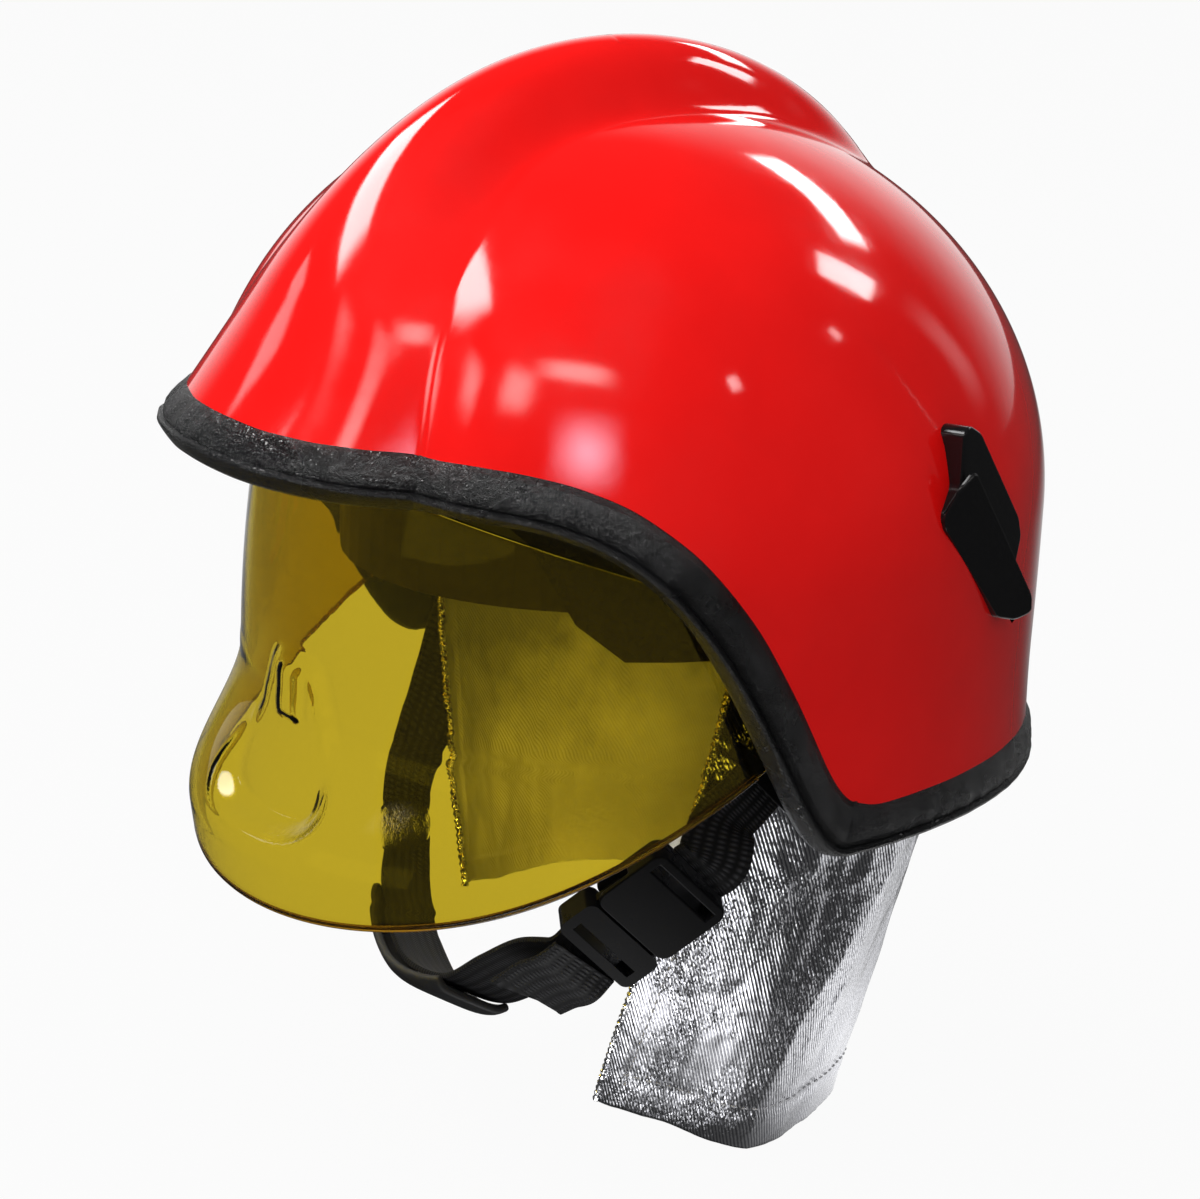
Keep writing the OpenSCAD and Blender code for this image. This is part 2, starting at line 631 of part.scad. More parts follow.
module adjuster_pinion() {
    tip = pinion_r + tooth_h;
    root = pinion_r - tooth_h - 0.5;
    foot = 0.32 * tooth_pitch;
    flank = 0.21 * tooth_pitch;
    point = 0.09 * tooth_pitch;
    color([0.75, 0.75, 0.72]) translate([0, rack_y + rack_t, 0]) rotate([90, 0, 0])
        linear_extrude(rack_t) {
            circle(root);
            for (i = [0:pinion_teeth - 1]) {
                rotate(360 * (i + 0.5) / pinion_teeth) polygon([
                    [-foot, root - 0.6], [foot, root - 0.6], [flank, pinion_r],
                    [point, tip], [-point, tip], [-flank, pinion_r]]);
            }
        }
}

// A toothed strip above the pinion, with a bent end outside the headband
module rack() {
    bend = [for (i = [0:6]) band_point(rack_bend - rack_end_span * i / 6, band_t + 0.3)];
    back = [for (i = [6:-1:0]) band_point(rack_bend - rack_end_span * i / 6, band_t + 0.3 + rack_t)];
    straight = -12;
    low = pinion_r + tooth_h + 0.2;
    translate([0, 0, low]) linear_extrude(rack_h) {
        polygon(concat([[straight, rack_y + rack_t], [straight, rack_y], [housing_half_w + 0.6, rack_y]],
            bend, back, [[housing_half_w + 1.2, rack_y + rack_t]]));
    }
    translate([0, rack_y + rack_t, 0]) rotate([90, 0, 0]) linear_extrude(rack_t) {
        for (i = [-2:3]) {
            translate([i * tooth_pitch, 0]) polygon([
                [-0.3 * tooth_pitch, low + 0.1], [0.3 * tooth_pitch, low + 0.1],
                [0.08 * tooth_pitch, pinion_r - tooth_h], [-0.08 * tooth_pitch, pinion_r - tooth_h]]);
        }
    }
}

module rack_left() {
    color([0.11, 0.11, 0.12]) rack();
}

module rack_right() {
    color([0.11, 0.11, 0.12]) rotate([0, 180, 0]) rack();
}

// A cushion with a crown, drawn in at its sides
module nape_pad() {
    n = 12;
    front = [for (i = [0:n]) [for (j = [0:n]) pad_point(2 * i / n - 1, 2 * j / n - 1, pad_bulge)]];
    back = [for (i = [0:n]) [for (j = [0:n]) pad_point(2 * i / n - 1, 2 * j / n - 1, 0)]];
    color([0.1, 0.1, 0.1]) sheet(back, front);
}

pad_w = 36;
pad_h = 32;
pad_bulge = 7;
pad_z = -4;
function pad_point(u, v, bulge) =
    let (drawn = 1 - 0.07 * (u * u + v * v),
        crown = pow(max(1 - pow(u, 4), 0) * max(1 - pow(v, 4), 0), 0.5),
        depth = bulge > 0 ? 1 + (bulge - 1) * crown : 0)
    [u * pad_w / 2 * drawn, adjuster_y - 0.05 - depth, pad_z + v * pad_h / 2 * drawn];

// Visor lens, by azimuth from the front and height
function lens_flare_at(azimuth, z) = (lens_flare * pow(max(cos(azimuth), 0), 2.36) + 1)
    * smooth((lens_flare_z - z) / lens_flare_band);
function nose_at(x, z) =
    let (w = mix(nose_top_w, nose_foot_w, smooth((nose_z + nose_half_h - z) / (1.8 * nose_half_h))),
        d = norm([x / w, (z - nose_z) / nose_half_h]))
    nose_h * smooth((1.3 - d) / 0.75);
function lens_point(azimuth, z, offset, behind = 0) =
    let (depth = lens_depth - pow(z - lens_belly_z, 2) / (2 * lens_side_r),
        x = lens_half_w * sin(azimuth),
        out = offset + lens_flare_at(azimuth, z) + (abs(x) < 2 * nose_foot_w ? nose_at(x, z) : 0))
    [(lens_half_w + out) * sin(azimuth), lens_y - (depth + out) * cos(azimuth) + behind, z];
function lens_top(azimuth) = mix(lens_side_top_z, lens_top_z, pow(max(cos(azimuth), 0), 0.8));
function lens_bottom(azimuth) = let (c = 1 - cos(azimuth)) lens_bottom_z + lens_bottom_rise * c;
lens_azimuths = mirrored_line(concat([for (a = [0:2.8:19.6]) a], [for (a = [25:5:90]) a]));
function mirrored_line(half) = concat([for (i = [len(half) - 1:-1:1]) -half[i]], half);
lens_rows = 17;
function lens_column(azimuth, offset, behind) = [for (j = [0:lens_rows])
    lens_point(azimuth, mix(lens_top(azimuth), lens_bottom(azimuth), j / lens_rows), offset, behind)];
function lens_side(offset) = concat([lens_column(-90, offset, tab_len)],
    [for (a = lens_azimuths) lens_column(a, offset, 0)], [lens_column(90, offset, tab_len)]);
lens_inner_x = lens_half_w - lens_wall / 2;
cut_x = lens_half_w + lens_gap + 10;
lens_screws = [[lens_y + tab_len / 2 + 0.5, -19], [lens_y + tab_len / 2 + 0.5, -37]];

module visor_lens() {
    color([0.85, 0.65, 0.1, 0.6]) difference() {
        sheet(lens_side(lens_wall / 2), lens_side(-lens_wall / 2));
        for (s = lens_screws) {
            translate([0, s.x, s.y])
                x_cylinder(-cut_x, 2 * cut_x, lens_screw_r + screw_fit, $fn = 24);
        }
    }
}

// Left visor arm, flat inside the lens's tab
module visor_arm() {
    foot_y = lens_y + 0.5;
    foot_w = tab_len - 1;
    difference() {
        along_x(lens_inner_x - 0.05 - arm_t, arm_t) {
            translate([pivot_y, pivot_z]) circle(arm_r);
            polygon([[foot_y, -12], [foot_y, -44], [foot_y + foot_w, -44],
                [pivot_y + 8, pivot_z - arm_r + 2.8], [pivot_y, pivot_z + 4], [foot_y + 2, -9]]);
        }
        translate([0, pivot_y, pivot_z]) x_cylinder(0, cut_x, pivot_r + pivot_fit);
        for (s = lens_screws) {
            translate([0, s.x, s.y]) x_cylinder(0, cut_x, lens_screw_r + screw_fit, $fn = 24);
        }
    }
}

module visor_arm_left() {
    color([0.08, 0.08, 0.09]) visor_arm();
}

module visor_arm_right() {
    color([0.08, 0.08, 0.09]) mirror([1, 0, 0]) visor_arm();
}

module visor_screws() {
    head_h = 1.4;
    color([0.62, 0.62, 0.64]) for (side = [0, 1], s = lens_screws) {
        mirror([side, 0, 0]) translate([0, s.x, s.y]) {
            x_cylinder(lens_inner_x - arm_t - 0.1, lens_wall + arm_t + 0.1, lens_screw_r);
            x_cylinder(lens_inner_x - arm_t - 0.1 - head_h, head_h, 2 * lens_screw_r);
        }
    }
}

pin_head = 3;
pin_x = lens_inner_x - 0.05 - arm_t - 0.1;
washer_x = lens_inner_x;
washer_r = 7.4;
bracket_x = washer_x + washer_t + 0.05;
pivot_bracket_t = 3;
shell_inside_x = shell_half_w - shell_wall;

// Left pivot: pin, washer and the bracket that carries the pin
module pivot_pin() {
    translate([0, pivot_y, pivot_z]) {
        x_cylinder(pin_x - pin_head, pin_head, 2 * pivot_r);
        x_cylinder(pin_x - 0.01, bracket_x + pivot_bracket_t - pin_x, pivot_r);
    }
}

module pivot_pin_left() {
    color([0.6, 0.6, 0.62]) pivot_pin();
}

module pivot_pin_right() {
    color([0.6, 0.6, 0.62]) mirror([1, 0, 0]) pivot_pin();
}

module friction_washer() {
    translate([0, pivot_y, pivot_z]) difference() {
        x_cylinder(washer_x, washer_t, washer_r);
        x_cylinder(0, cut_x, pivot_r + 0.3);
    }
}

module friction_washer_left() {
    color([0.2, 0.2, 0.2]) friction_washer();
}

module friction_washer_right() {
    color([0.2, 0.2, 0.2]) mirror([1, 0, 0]) friction_washer();
}

module pivot_bracket() {
    ring_x = bracket_x + pivot_bracket_t - 0.5;
    difference() {
        union() {
            along_x(bracket_x, pivot_bracket_t) {
                translate([pivot_y, pivot_z]) circle(arm_r + 1);
                translate([pivot_y + 4, pivot_z - 9]) square([18, 18]);
            }
            // Ring against the inside of the shell
            translate([0, pivot_y, pivot_z]) difference() {
                x_cylinder(ring_x, shell_inside_x - 2.6 - ring_x, 9);
                x_cylinder(0, cut_x, 6);
            }
        }
        translate([0, pivot_y, pivot_z]) x_cylinder(0, cut_x, pivot_r + 0.01);
    }
}

module pivot_bracket_left() {
    color([0.1, 0.1, 0.11]) pivot_bracket();
}

module pivot_bracket_right() {
    color([0.1, 0.1, 0.11]) mirror([1, 0, 0]) pivot_bracket();
}

// Chin strap: its left side hangs from the left anchor down to the buckle,
// and the rest swings about the right anchor
anchor_azimuth = 112.5;
anchor_elevation = -16;
anchor_plate_t = 2.8;
loop_r = bar_r + 0.3 + web_t;
wall_point = shell_point(anchor_azimuth, anchor_elevation, shell_wall + 1.2);
wall_out = shell_normal(anchor_azimuth, anchor_elevation);
anchor = wall_point - wall_out * (anchor_plate_t + loop_r + 2.4);
hinge = [-anchor.x, anchor.y, anchor.z];
buckle = [shell_half_w - 40, -35, -106.5];
reach = unit(buckle - hinge);
pull = square_to([-0.51, -0.54, -0.67], reach);
hinge_axis = cross(reach, pull);
buckle_face = square_to([0.8, -0.45, -0.25], pull);
left_axis = [-hinge_axis.x, hinge_axis.y, hinge_axis.z];
bar_len = web_w + 6;
anchor_holes = [-8, 8];
anchor_screw_r = 1.8;
anchor_head_r = 3.1;

// Left anchor: a plate on the shell's inside that carries a bar between two ears
module strap_anchor() {
    along = square_to(left_axis, wall_out);
    plate_out = square_to(wall_out, left_axis);
    difference() {
        union() {
            in_frame(anchor, plate_out, left_axis) cylinder(h = bar_len, r = bar_r, center = true);
            for (end = [-1, 1]) {
                foot = anchor + left_axis * end * (bar_len / 2 - 1);
                rise = (wall_point - wall_out * anchor_plate_t * 0.6 - foot) * wall_out;
                ear = rise / (plate_out * wall_out);
                in_frame(foot, plate_out, left_axis)
                    translate([-3.5, -bar_r, -1]) cube([7, bar_r + ear, 2]);
            }
            in_frame(wall_point - wall_out * anchor_plate_t, along, wall_out)
                rounded_plate(18, bar_len + 2, 4, anchor_plate_t);
        }
        in_frame(wall_point, along, wall_out) {
            for (y = anchor_holes) {
                translate([0, y, -2 * anchor_plate_t])
                    cylinder(h = 4 * anchor_plate_t, r = anchor_screw_r + screw_fit);
                translate([0, y, -2 * anchor_plate_t])
                    cylinder(h = anchor_plate_t + 1, r = anchor_head_r + screw_fit);
            }
        }
    }
}

module strap_anchor_left() {
    color([0.3, 0.3, 0.31]) strap_anchor();
}

module strap_anchor_right() {
    color([0.3, 0.3, 0.31]) mirror([1, 0, 0]) strap_anchor();
}

module anchor_screws() {
    color([0.62, 0.62, 0.64]) for (side = [0, 1]) {
        mirror([side, 0, 0])
            in_frame(wall_point - wall_out * anchor_plate_t, square_to(left_axis, wall_out), wall_out) {
                for (y = anchor_holes) {
                    translate([0, y, 0.1]) cylinder(h = anchor_plate_t, r = anchor_screw_r);
                    translate([0, y, 0.1]) cylinder(h = 0.85, r = anchor_head_r);
                }
            }
    }
}

// Webbing sewn round the bar of the left anchor
module webbing_loop() {
    in_frame(anchor, square_to(wall_out, left_axis), left_axis) difference() {
        cylinder(h = web_w, r = loop_r, center = true);
        cylinder(h = web_w + 2, r = bar_r + 0.3, center = true);
    }
}

socket_len = 26;
tongue_base = 14;
tongue_gap = 0.6;
socket_top = buckle - pull * (socket_len + 1.3);
tongue_foot = buckle + pull * (tongue_base + tongue_gap + 0.5);
loop_out = square_to(wall_out, left_axis);
loop_side = anchor - loop_out * (loop_r - web_t / 2);
slide_from = [shell_half_w - 21.1, 12, -48];
slide_to = [shell_half_w - 25.5, -12.2, -73.4];
side_path = concat([loop_side], [for (k = [0:0.25:1]) mix(slide_from, slide_to, k)],
    [socket_top - pull * 6, socket_top]);
side_out = [loop_out, [1, 0.1, -0.1], [1, 0, -0.1], [1, -0.1, -0.15], [1, -0.2, -0.2], [1, -0.3, -0.2],
    buckle_face, buckle_face];

module side_strap() {
    color([0.07, 0.07, 0.075]) {
        strap(side_path, side_out, web_w, web_t, 20);
        webbing_loop();
    }
}

// Loop that slides on the side strap
keeper_at = 3 / 7;
keeper_len = 6;
keeper_wall = 2.2;
keeper_room = [1.6, 1.8];

module strap_keeper() {
    p = spline(side_path, keeper_at);
    tangent = unit(spline(side_path, keeper_at + 0.03) - spline(side_path, keeper_at - 0.03));
    out = square_to(spline(side_out, keeper_at), tangent);
    color([0.09, 0.09, 0.1]) in_frame(p, tangent, out) difference() {
        cube([web_w + keeper_room.x + 2 * keeper_wall, keeper_len,
            web_t + keeper_room.y + 1.6 * keeper_wall], center = true);
        cube([web_w + keeper_room.x, keeper_len + 2, web_t + keeper_room.y], center = true);
    }
}

module buckle_socket() {
    hollow_t = tongue_t + 2 * tongue_clearance;
    color([0.05, 0.05, 0.055]) in_frame(buckle, -pull, buckle_face) difference() {
        translate([0, socket_len / 2, -buckle_t / 2]) rounded_plate(buckle_w, socket_len, 4, buckle_t);
        translate([0, tongue_len / 2, 0])
            cube([tongue_w + 2 * tongue_clearance, tongue_len + 4, hollow_t], center = true);
        for (x = [-1, 1]) {
            translate([x * (prong_x + 4), tongue_len / 2, 0])
                cube([prong_w + 8 + 2 * tongue_clearance, tongue_len + 2, hollow_t], center = true);
        }
        translate([0, socket_len - 5, 0]) cube([web_w + 1, web_slot, buckle_t + 2], center = true);
    }
}

web_slot = 3.2;
tongue_w = 10;
tongue_t = 3;
prong_x = 12.4;
prong_w = 2.6;

module buckle_tongue() {
    color([0.05, 0.05, 0.055]) in_frame(buckle, -pull, buckle_face) {
        difference() {
            translate([0, -tongue_gap - tongue_base / 2, -buckle_t / 2])
                rounded_plate(buckle_w, tongue_base, 3, buckle_t);
            translate([0, -tongue_gap - tongue_base + 5, 0])
                cube([web_w + 1, web_slot, buckle_t + 2], center = true);
        }
        translate([-tongue_w / 2, -tongue_gap - 1, -tongue_t / 2])
            cube([tongue_w, tongue_len, tongue_t]);
        for (x = [-1, 1]) {
            translate([x * prong_x - prong_w / 2, -tongue_gap - 1, -tongue_t / 2])
                cube([prong_w, tongue_len - 2, tongue_t]);
        }
    }
}

strap_side = [-loop_side.x, loop_side.y, loop_side.z];
chin_path = [strap_side, [23 - shell_half_w, 24, -60], [32 - shell_half_w, 5.5, -90],
    [44 - shell_half_w, -13, -116], [-62, -22, -137],
    [-42, -34, -145], [-20, -43, -150.5], [2, -49.5, -150.5], [24, -50.5, -146], [41, -49, -135],
    [56, -47.5, -125.5], tongue_foot + pull * 6, tongue_foot];
chin_out = [[-loop_out.x, loop_out.y, loop_out.z], [-1, 0.1, -0.1], [-1, -0.1, -0.15], [-1, -0.35, -0.2],
    [-0.8, -0.5, -0.5], [-0.5, -0.5, -0.7], [-0.3, -0.5, -0.8], [0, -0.5, -0.85], [0.3, -0.5, -0.8],
    [0.4, -0.6, -0.7], [0.6, -0.6, -0.5], buckle_face, buckle_face];

module chin_strap() {
    color([0.07, 0.07, 0.075]) {
        strap(chin_path, chin_out, web_w, web_t, chin_rings);
        mirror([1, 0, 0]) webbing_loop();
    }
}

// Cup under the chin, with vents
chin_rings = 48;
cup_from = 20 / chin_rings;
cup_rows = 12;
cup_vent = [1.6, 10];
cup_vent_pitch = 1.2;

module chin_cup() {
    n = cup_rows;
    m = 8;
    step = 1 / chin_rings;
    u = [for (i = [0:n]) cup_from + i * step];
    centre = [for (k = u) spline(chin_path, k)];
    along = [for (k = u) unit(spline(chin_path, k + step) - spline(chin_path, k - step))];
    out = [for (i = [0:n]) square_to(spline(chin_out, u[i]), along[i])];
    across = [for (i = [0:n]) cross(along[i], out[i])];
    function cup_row(i, depth) = [for (j = [0:m])
        let (v = 2 * j / m - 1, end = pow(2 * i / n - 1, 4), edge = abs(v) > 0.8 ? 2 : 0)
        centre[i] + across[i] * v * cup_w / 2 * (1 - 0.2 * end)
            + out[i] * (web_t / 2 + 1 - edge + depth * (1 - 0.3 * pow(v, 4) - 0.3 * end))];
    color([0.06, 0.06, 0.065]) difference() {
        sheet([for (i = [0:n]) cup_row(i, cup_t)], [for (i = [0:n]) cup_row(i, 0)]);
        for (k = [-2:2]) {
            at = cup_from + (cup_rows / 2 + cup_vent_pitch * k) * step;
            tangent = unit(spline(chin_path, at + step) - spline(chin_path, at - step));
            slant = square_to(spline(chin_out, at), tangent);
            in_frame(spline(chin_path, at), cross(slant, tangent), slant) translate([0, 0, cup_t])
                cube([cup_vent.x, cup_vent.y, 2.5 * cup_t], center = true);
        }
    }
}

// Free end of the webbing, folded back from the buckle
module strap_tail() {
    places = [for (k = [0:3]) 0.964 - 0.05 * k];
    along = [for (u = places) unit(spline(chin_path, u + 0.005) - spline(chin_path, u - 0.02))];
    out = [for (k = [0:3]) square_to(spline(chin_out, places[k]), along[k])];
    path = [for (k = [0:3])
        spline(chin_path, places[k]) + out[k] * (web_t + tail_gap * (1 + k)) - [0, 0, 1.5 * k]];
    color([0.07, 0.07, 0.075]) strap(path, out, web_w, web_t, 9);
}

tail_gap = 1.2;

// Neck curtain, by azimuth from the front and by depth from its upper edge at 0 to its hem at 1
function curtain_full(side) = mix(curtain_front_z, curtain_back_z, smooth((side - 30) / 55));
function curtain_share(azimuth) = let (low = curtain_full(min(azimuth, 360 - azimuth)))
    1 - curtain_rise * smooth((azimuth - 185) / 62) / (curtain_top_z - low);
function curtain_start(s) = mix(60.4, 30.4, s) + 20 * s * (1 - s);
function hump(a, centre, width) = exp(-pow((a - centre) / width, 2));
function curtain_fold(azimuth, s) = let (a = azimuth > 180 ? 360 - azimuth : azimuth)
    fold_h * pow(s, 1.3) * (hump(a, 86, 9) - 0.8 * hump(a, 110, 10) + 0.8 * hump(a, 135, 10)
        - 0.6 * hump(a, 158, 9) - 0.5 * hump(a, 64, 10) + 0.5 * cos(a - 180) * hump(a, 180, 12));
function curtain_point(azimuth, depth, offset) =
    let (s = depth * curtain_share(azimuth), k = pow(s, 1.2), a = mix(curtain_top_w, curtain_low_w, k),
        b = mix(curtain_top_l, curtain_low_l, k), y = mix(curtain_top_y, curtain_low_y, s),
        out = offset + curtain_fold(azimuth, s), low = curtain_full(min(azimuth, 360 - azimuth)))
    [(a + out) * sin(azimuth), y - (b + out) * cos(azimuth), mix(curtain_top_z - 0.4, low, s)];
curtain_top_y = 43.5;
curtain_low_y = 38;
curtain_columns = 62;
curtain_rows = 8;
function curtain_side(offset) = [for (i = [0:curtain_columns]) [for (j = [0:curtain_rows])
    let (s = j / curtain_rows, from = curtain_start(s), to = 360 - curtain_start(s * curtain_share(330)))
    curtain_point(mix(from, to, i / curtain_columns), s, offset)]];

module neck_curtain() {
    color([0.78, 0.78, 0.8]) sheet(curtain_side(curtain_t), curtain_side(0));
}

function rail_point(azimuth, offset) =
    [(curtain_top_w + offset) * sin(azimuth), curtain_top_y - (curtain_top_l + offset) * cos(azimuth)];

rail_in = curtain_t + 0.6;
rail_from = 112;
rail_steps = 36;
post_z = curtain_top_z - rail_h / 2;
post_azimuths = [132:24:228];
foot_gap = 0.3;
foot_t = 2;
foot_r = 6;
post_r = 3;

// Band that holds the curtain, and the posts that carry it inside the shell
module curtain_rail() {
    places = [for (i = [0:rail_steps]) mix(rail_from, 360 - rail_from, i / rail_steps)];
    color([0.12, 0.12, 0.13]) {
        translate([0, 0, curtain_top_z - rail_h]) linear_extrude(rail_h) polygon(concat(
            [for (i = [0:rail_steps]) rail_point(places[i], rail_in)],
            [for (i = [rail_steps:-1:0]) rail_point(places[i], rail_in + rail_t)]));
        for (a = post_azimuths) {
            rail_post(rail_point(a, rail_in + rail_t / 2), rail_outward(a));
        }
    }
}

// One post: a round bar from the band to a foot that lies against the wall
module rail_post(start, outward) {
    base = [start.x, start.y, post_z];
    foot = wall_behind(base, outward);
    normal = shell_normal(atan2(foot.x, -foot.y), asin(foot.z / norm(foot)));
    in_frame(base, [0, 0, 1], outward)
        cylinder(h = norm(foot - base) - foot_gap - foot_t / 2, r = post_r);
    in_frame(foot - normal * (foot_gap + foot_t), square_to([0, 0, 1], normal), normal)
        cylinder(h = foot_t, r = foot_r);
}

function rail_outward(azimuth) = unit([sin(azimuth) / curtain_top_w, -cos(azimuth) / curtain_top_l, 0]);
// The point of the shell's inside that a level ray meets
function wall_behind(start, outward, low = 0, high = 60, steps = 20) =
    let (middle = (low + high) / 2, p = start + outward * middle)
    steps == 0 ? p
        : norm(p) < norm(shell_point(atan2(p.x, -p.y), asin(p.z / norm(p)), shell_wall))
            ? wall_behind(start, outward, middle, high, steps - 1)
            : wall_behind(start, outward, low, middle, steps - 1);

stud_azimuths = [120:24:240];
stud_h = 1.6;
stud_r = 4.5;

module curtain_studs() {
    color([0.62, 0.62, 0.64]) for (a = stud_azimuths) {
        p = rail_point(a, rail_in + rail_t + 0.05);
        in_frame([p.x, p.y, post_z], [0, 0, 1], rail_outward(a)) cylinder(h = stud_h, r = stud_r);
    }
}

outer_shell();
edge_trim();
lamp_bracket();
lamp_bracket_screws();
impact_liner();
crown_pad();
cradle_webbing();
headband();
headband_clips();
sweatband();
adjuster_cover();
adjuster_housing();
adjuster_knob();
adjuster_pinion();
rack_left();
rack_right();
nape_pad();
visor_lens();
visor_arm_left();
visor_arm_right();
visor_screws();
pivot_pin_left();
pivot_pin_right();
pivot_bracket_left();
pivot_bracket_right();
friction_washer_left();
friction_washer_right();
strap_anchor_left();
strap_anchor_right();
anchor_screws();
side_strap();
strap_keeper();
buckle_socket();
buckle_tongue();
chin_strap();
strap_tail();
chin_cup();
neck_curtain();
curtain_rail();
curtain_studs();
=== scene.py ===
# Looks of the fire helmet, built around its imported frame
import math
import bmesh
import bpy
from mathutils import Matrix, Vector, noise


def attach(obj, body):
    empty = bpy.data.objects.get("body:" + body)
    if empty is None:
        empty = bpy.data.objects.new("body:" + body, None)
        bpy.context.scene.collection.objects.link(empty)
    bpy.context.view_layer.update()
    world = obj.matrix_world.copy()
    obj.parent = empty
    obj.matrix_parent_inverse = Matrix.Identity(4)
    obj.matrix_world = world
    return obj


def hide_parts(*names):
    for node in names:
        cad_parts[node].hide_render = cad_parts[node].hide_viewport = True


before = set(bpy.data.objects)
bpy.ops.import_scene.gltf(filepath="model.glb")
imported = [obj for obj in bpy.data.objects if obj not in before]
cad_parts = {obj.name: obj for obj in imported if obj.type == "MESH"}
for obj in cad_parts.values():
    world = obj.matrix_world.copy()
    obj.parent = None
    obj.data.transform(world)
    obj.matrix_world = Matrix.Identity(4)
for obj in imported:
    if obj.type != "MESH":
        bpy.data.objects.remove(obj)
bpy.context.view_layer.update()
mm = 0.001
print("stage: frame loaded")


# arithmetic shared by the pieces, in millimetres and degrees
def smooth(t):
    t = min(max(t, 0.0), 1.0)
    return t * t * (3 - 2 * t)


def mix(a, b, t):
    return a + (b - a) * t


def sine(degrees):
    return math.sin(math.radians(degrees))


def cosine(degrees):
    return math.cos(math.radians(degrees))


def direction(azimuth, elevation):
    return Vector((sine(azimuth) * cosine(elevation), -cosine(azimuth) * cosine(elevation), sine(elevation)))


def bump(value, centre, width):
    return math.exp(-((value - centre) / width) ** 2)


def squareTo(v, axis):
    return (v - v.dot(axis) * axis).normalized()


def curvePoint(points, u):
    last = len(points) - 1
    k = min(int(u * last), last - 1)
    t = u * last - k
    b, c = points[k], points[k + 1]
    a = points[k - 1] if k > 0 else 2 * b - c
    d = points[k + 2] if k < last - 1 else 2 * c - b
    return 0.5 * (2 * b + (c - a) * t + (2 * a - 5 * b + 4 * c - d) * t * t + (3 * b - a - 3 * c + d) * t ** 3)


def ripple(x, y, z=0.0):
    return noise.noise(Vector((x, y, z)))


def addObject(name, data):
    holder = bpy.data.objects.new(name, data)
    bpy.context.scene.collection.objects.link(holder)
    return holder


# camera at the photograph's angle
cameraSetup = {"azimuth": 55.02, "elevation": 16.6, "roll": 2.72, "distance": 1333.0,
               "pixelsPerRadian": 4303.0, "originAt": (587.83, 495.67), "image": (1200, 1199), "sensor": 36.0}


def makeCamera(s):
    back = direction(s["azimuth"], s["elevation"])
    right = Vector((0, 0, 1)).cross(back).normalized()
    up = back.cross(right)
    turnedRight = right * cosine(s["roll"]) + up * sine(s["roll"])
    turnedUp = up * cosine(s["roll"]) - right * sine(s["roll"])
    place = back * s["distance"]
    # the middle of the picture lies a little below and right of the origin
    across = (s["image"][0] / 2 - s["originAt"][0]) / s["pixelsPerRadian"]
    down = (s["image"][1] / 2 - s["originAt"][1]) / s["pixelsPerRadian"]
    look = (-back + turnedRight * across - turnedUp * down).normalized()
    cameraRight = look.cross(turnedUp).normalized()
    cameraUp = cameraRight.cross(look)
    camera = bpy.data.cameras.new("camera")
    camera.sensor_width = s["sensor"]
    camera.lens = s["pixelsPerRadian"] * s["sensor"] / s["image"][0]
    camera.clip_start = 0.05
    camera.clip_end = 30
    holder = addObject("camera", camera)
    turn = Matrix((cameraRight, cameraUp, -look)).transposed().to_4x4()
    holder.matrix_world = Matrix.Translation(place * mm) @ turn
    bpy.context.scene.camera = holder


makeCamera(cameraSetup)
print("stage: camera")


# materials
def newMaterial(name, color, roughness, **sockets):
    material = bpy.data.materials.new(name)
    material.use_nodes = True
    shader = material.node_tree.nodes["Principled BSDF"]
    shader.inputs["Base Color"].default_value = (*color, 1)
    shader.inputs["Roughness"].default_value = roughness
    for socket, value in sockets.items():
        shader.inputs[socket.replace("_", " ")].default_value = value
    return material


def addNode(owner, kind, inputs=(), **settings):
    # a node in the tree of its owner, with its inputs linked or set
    tree = getattr(owner, "node_tree", owner)
    node = tree.nodes.new("ShaderNode" + kind)
    for key, value in settings.items():
        setattr(node, key, value)
    for key, value in dict(inputs).items():
        if isinstance(value, bpy.types.NodeSocket):
            tree.links.new(value, node.inputs[key])
        else:
            node.inputs[key].default_value = value
    return node


def toShader(material, socket, value):
    material.node_tree.links.new(value, material.node_tree.nodes["Principled BSDF"].inputs[socket])


def coordinates(material, kind="Object", scale=(1, 1, 1), rotation=(0, 0, 0)):
    source = addNode(material, "TexCoord").outputs[kind]
    return addNode(material, "Mapping", {"Vector": source, "Scale": scale, "Rotation": rotation}).outputs[0]


def noiseOf(material, vector, scale, detail=3, roughness=0.55, distortion=0.0):
    return addNode(material, "TexNoise", {"Vector": vector, "Scale": scale, "Detail": detail,
                                          "Roughness": roughness, "Distortion": distortion}).outputs[0]


def spread(owner, value, low, high, toLow=0.0, toHigh=1.0, kind="LINEAR"):
    return addNode(owner, "MapRange", {"Value": value, "From Min": low, "From Max": high, "To Min": toLow,
                                       "To Max": toHigh}, interpolation_type=kind).outputs[0]


def colorBy(material, factor, first, second):
    ramp = addNode(material, "ValToRGB", {"Fac": factor})
    ramp.color_ramp.elements[0].color = (*first, 1)
    ramp.color_ramp.elements[1].color = (*second, 1)
    toShader(material, "Base Color", ramp.outputs[0])


def roughBy(material, pattern, low, high, toLow, toHigh):
    toShader(material, "Roughness", spread(material, pattern, low, high, toLow, toHigh))


def bumped(material, height, distance, strength=1.0, under=None):
    inputs = {"Height": height, "Distance": distance, "Strength": strength}
    if under is not None:
        inputs["Normal"] = under
    return addNode(material, "Bump", inputs).outputs[0]


def calculated(owner, operation, first, second=0.5):
    return addNode(owner, "Math", {0: first, 1: second}, operation=operation).outputs[0]


def vectorOf(owner, operation, first, second=(0, 0, 0), output=0):
    return addNode(owner, "VectorMath", {0: first, 1: second}, operation=operation).outputs[output]


lacquerLook = {"color": (0.83, 0.0068, 0.0058), "deepColor": (0.72, 0.0045, 0.004), "roughness": (0.06, 0.13)}


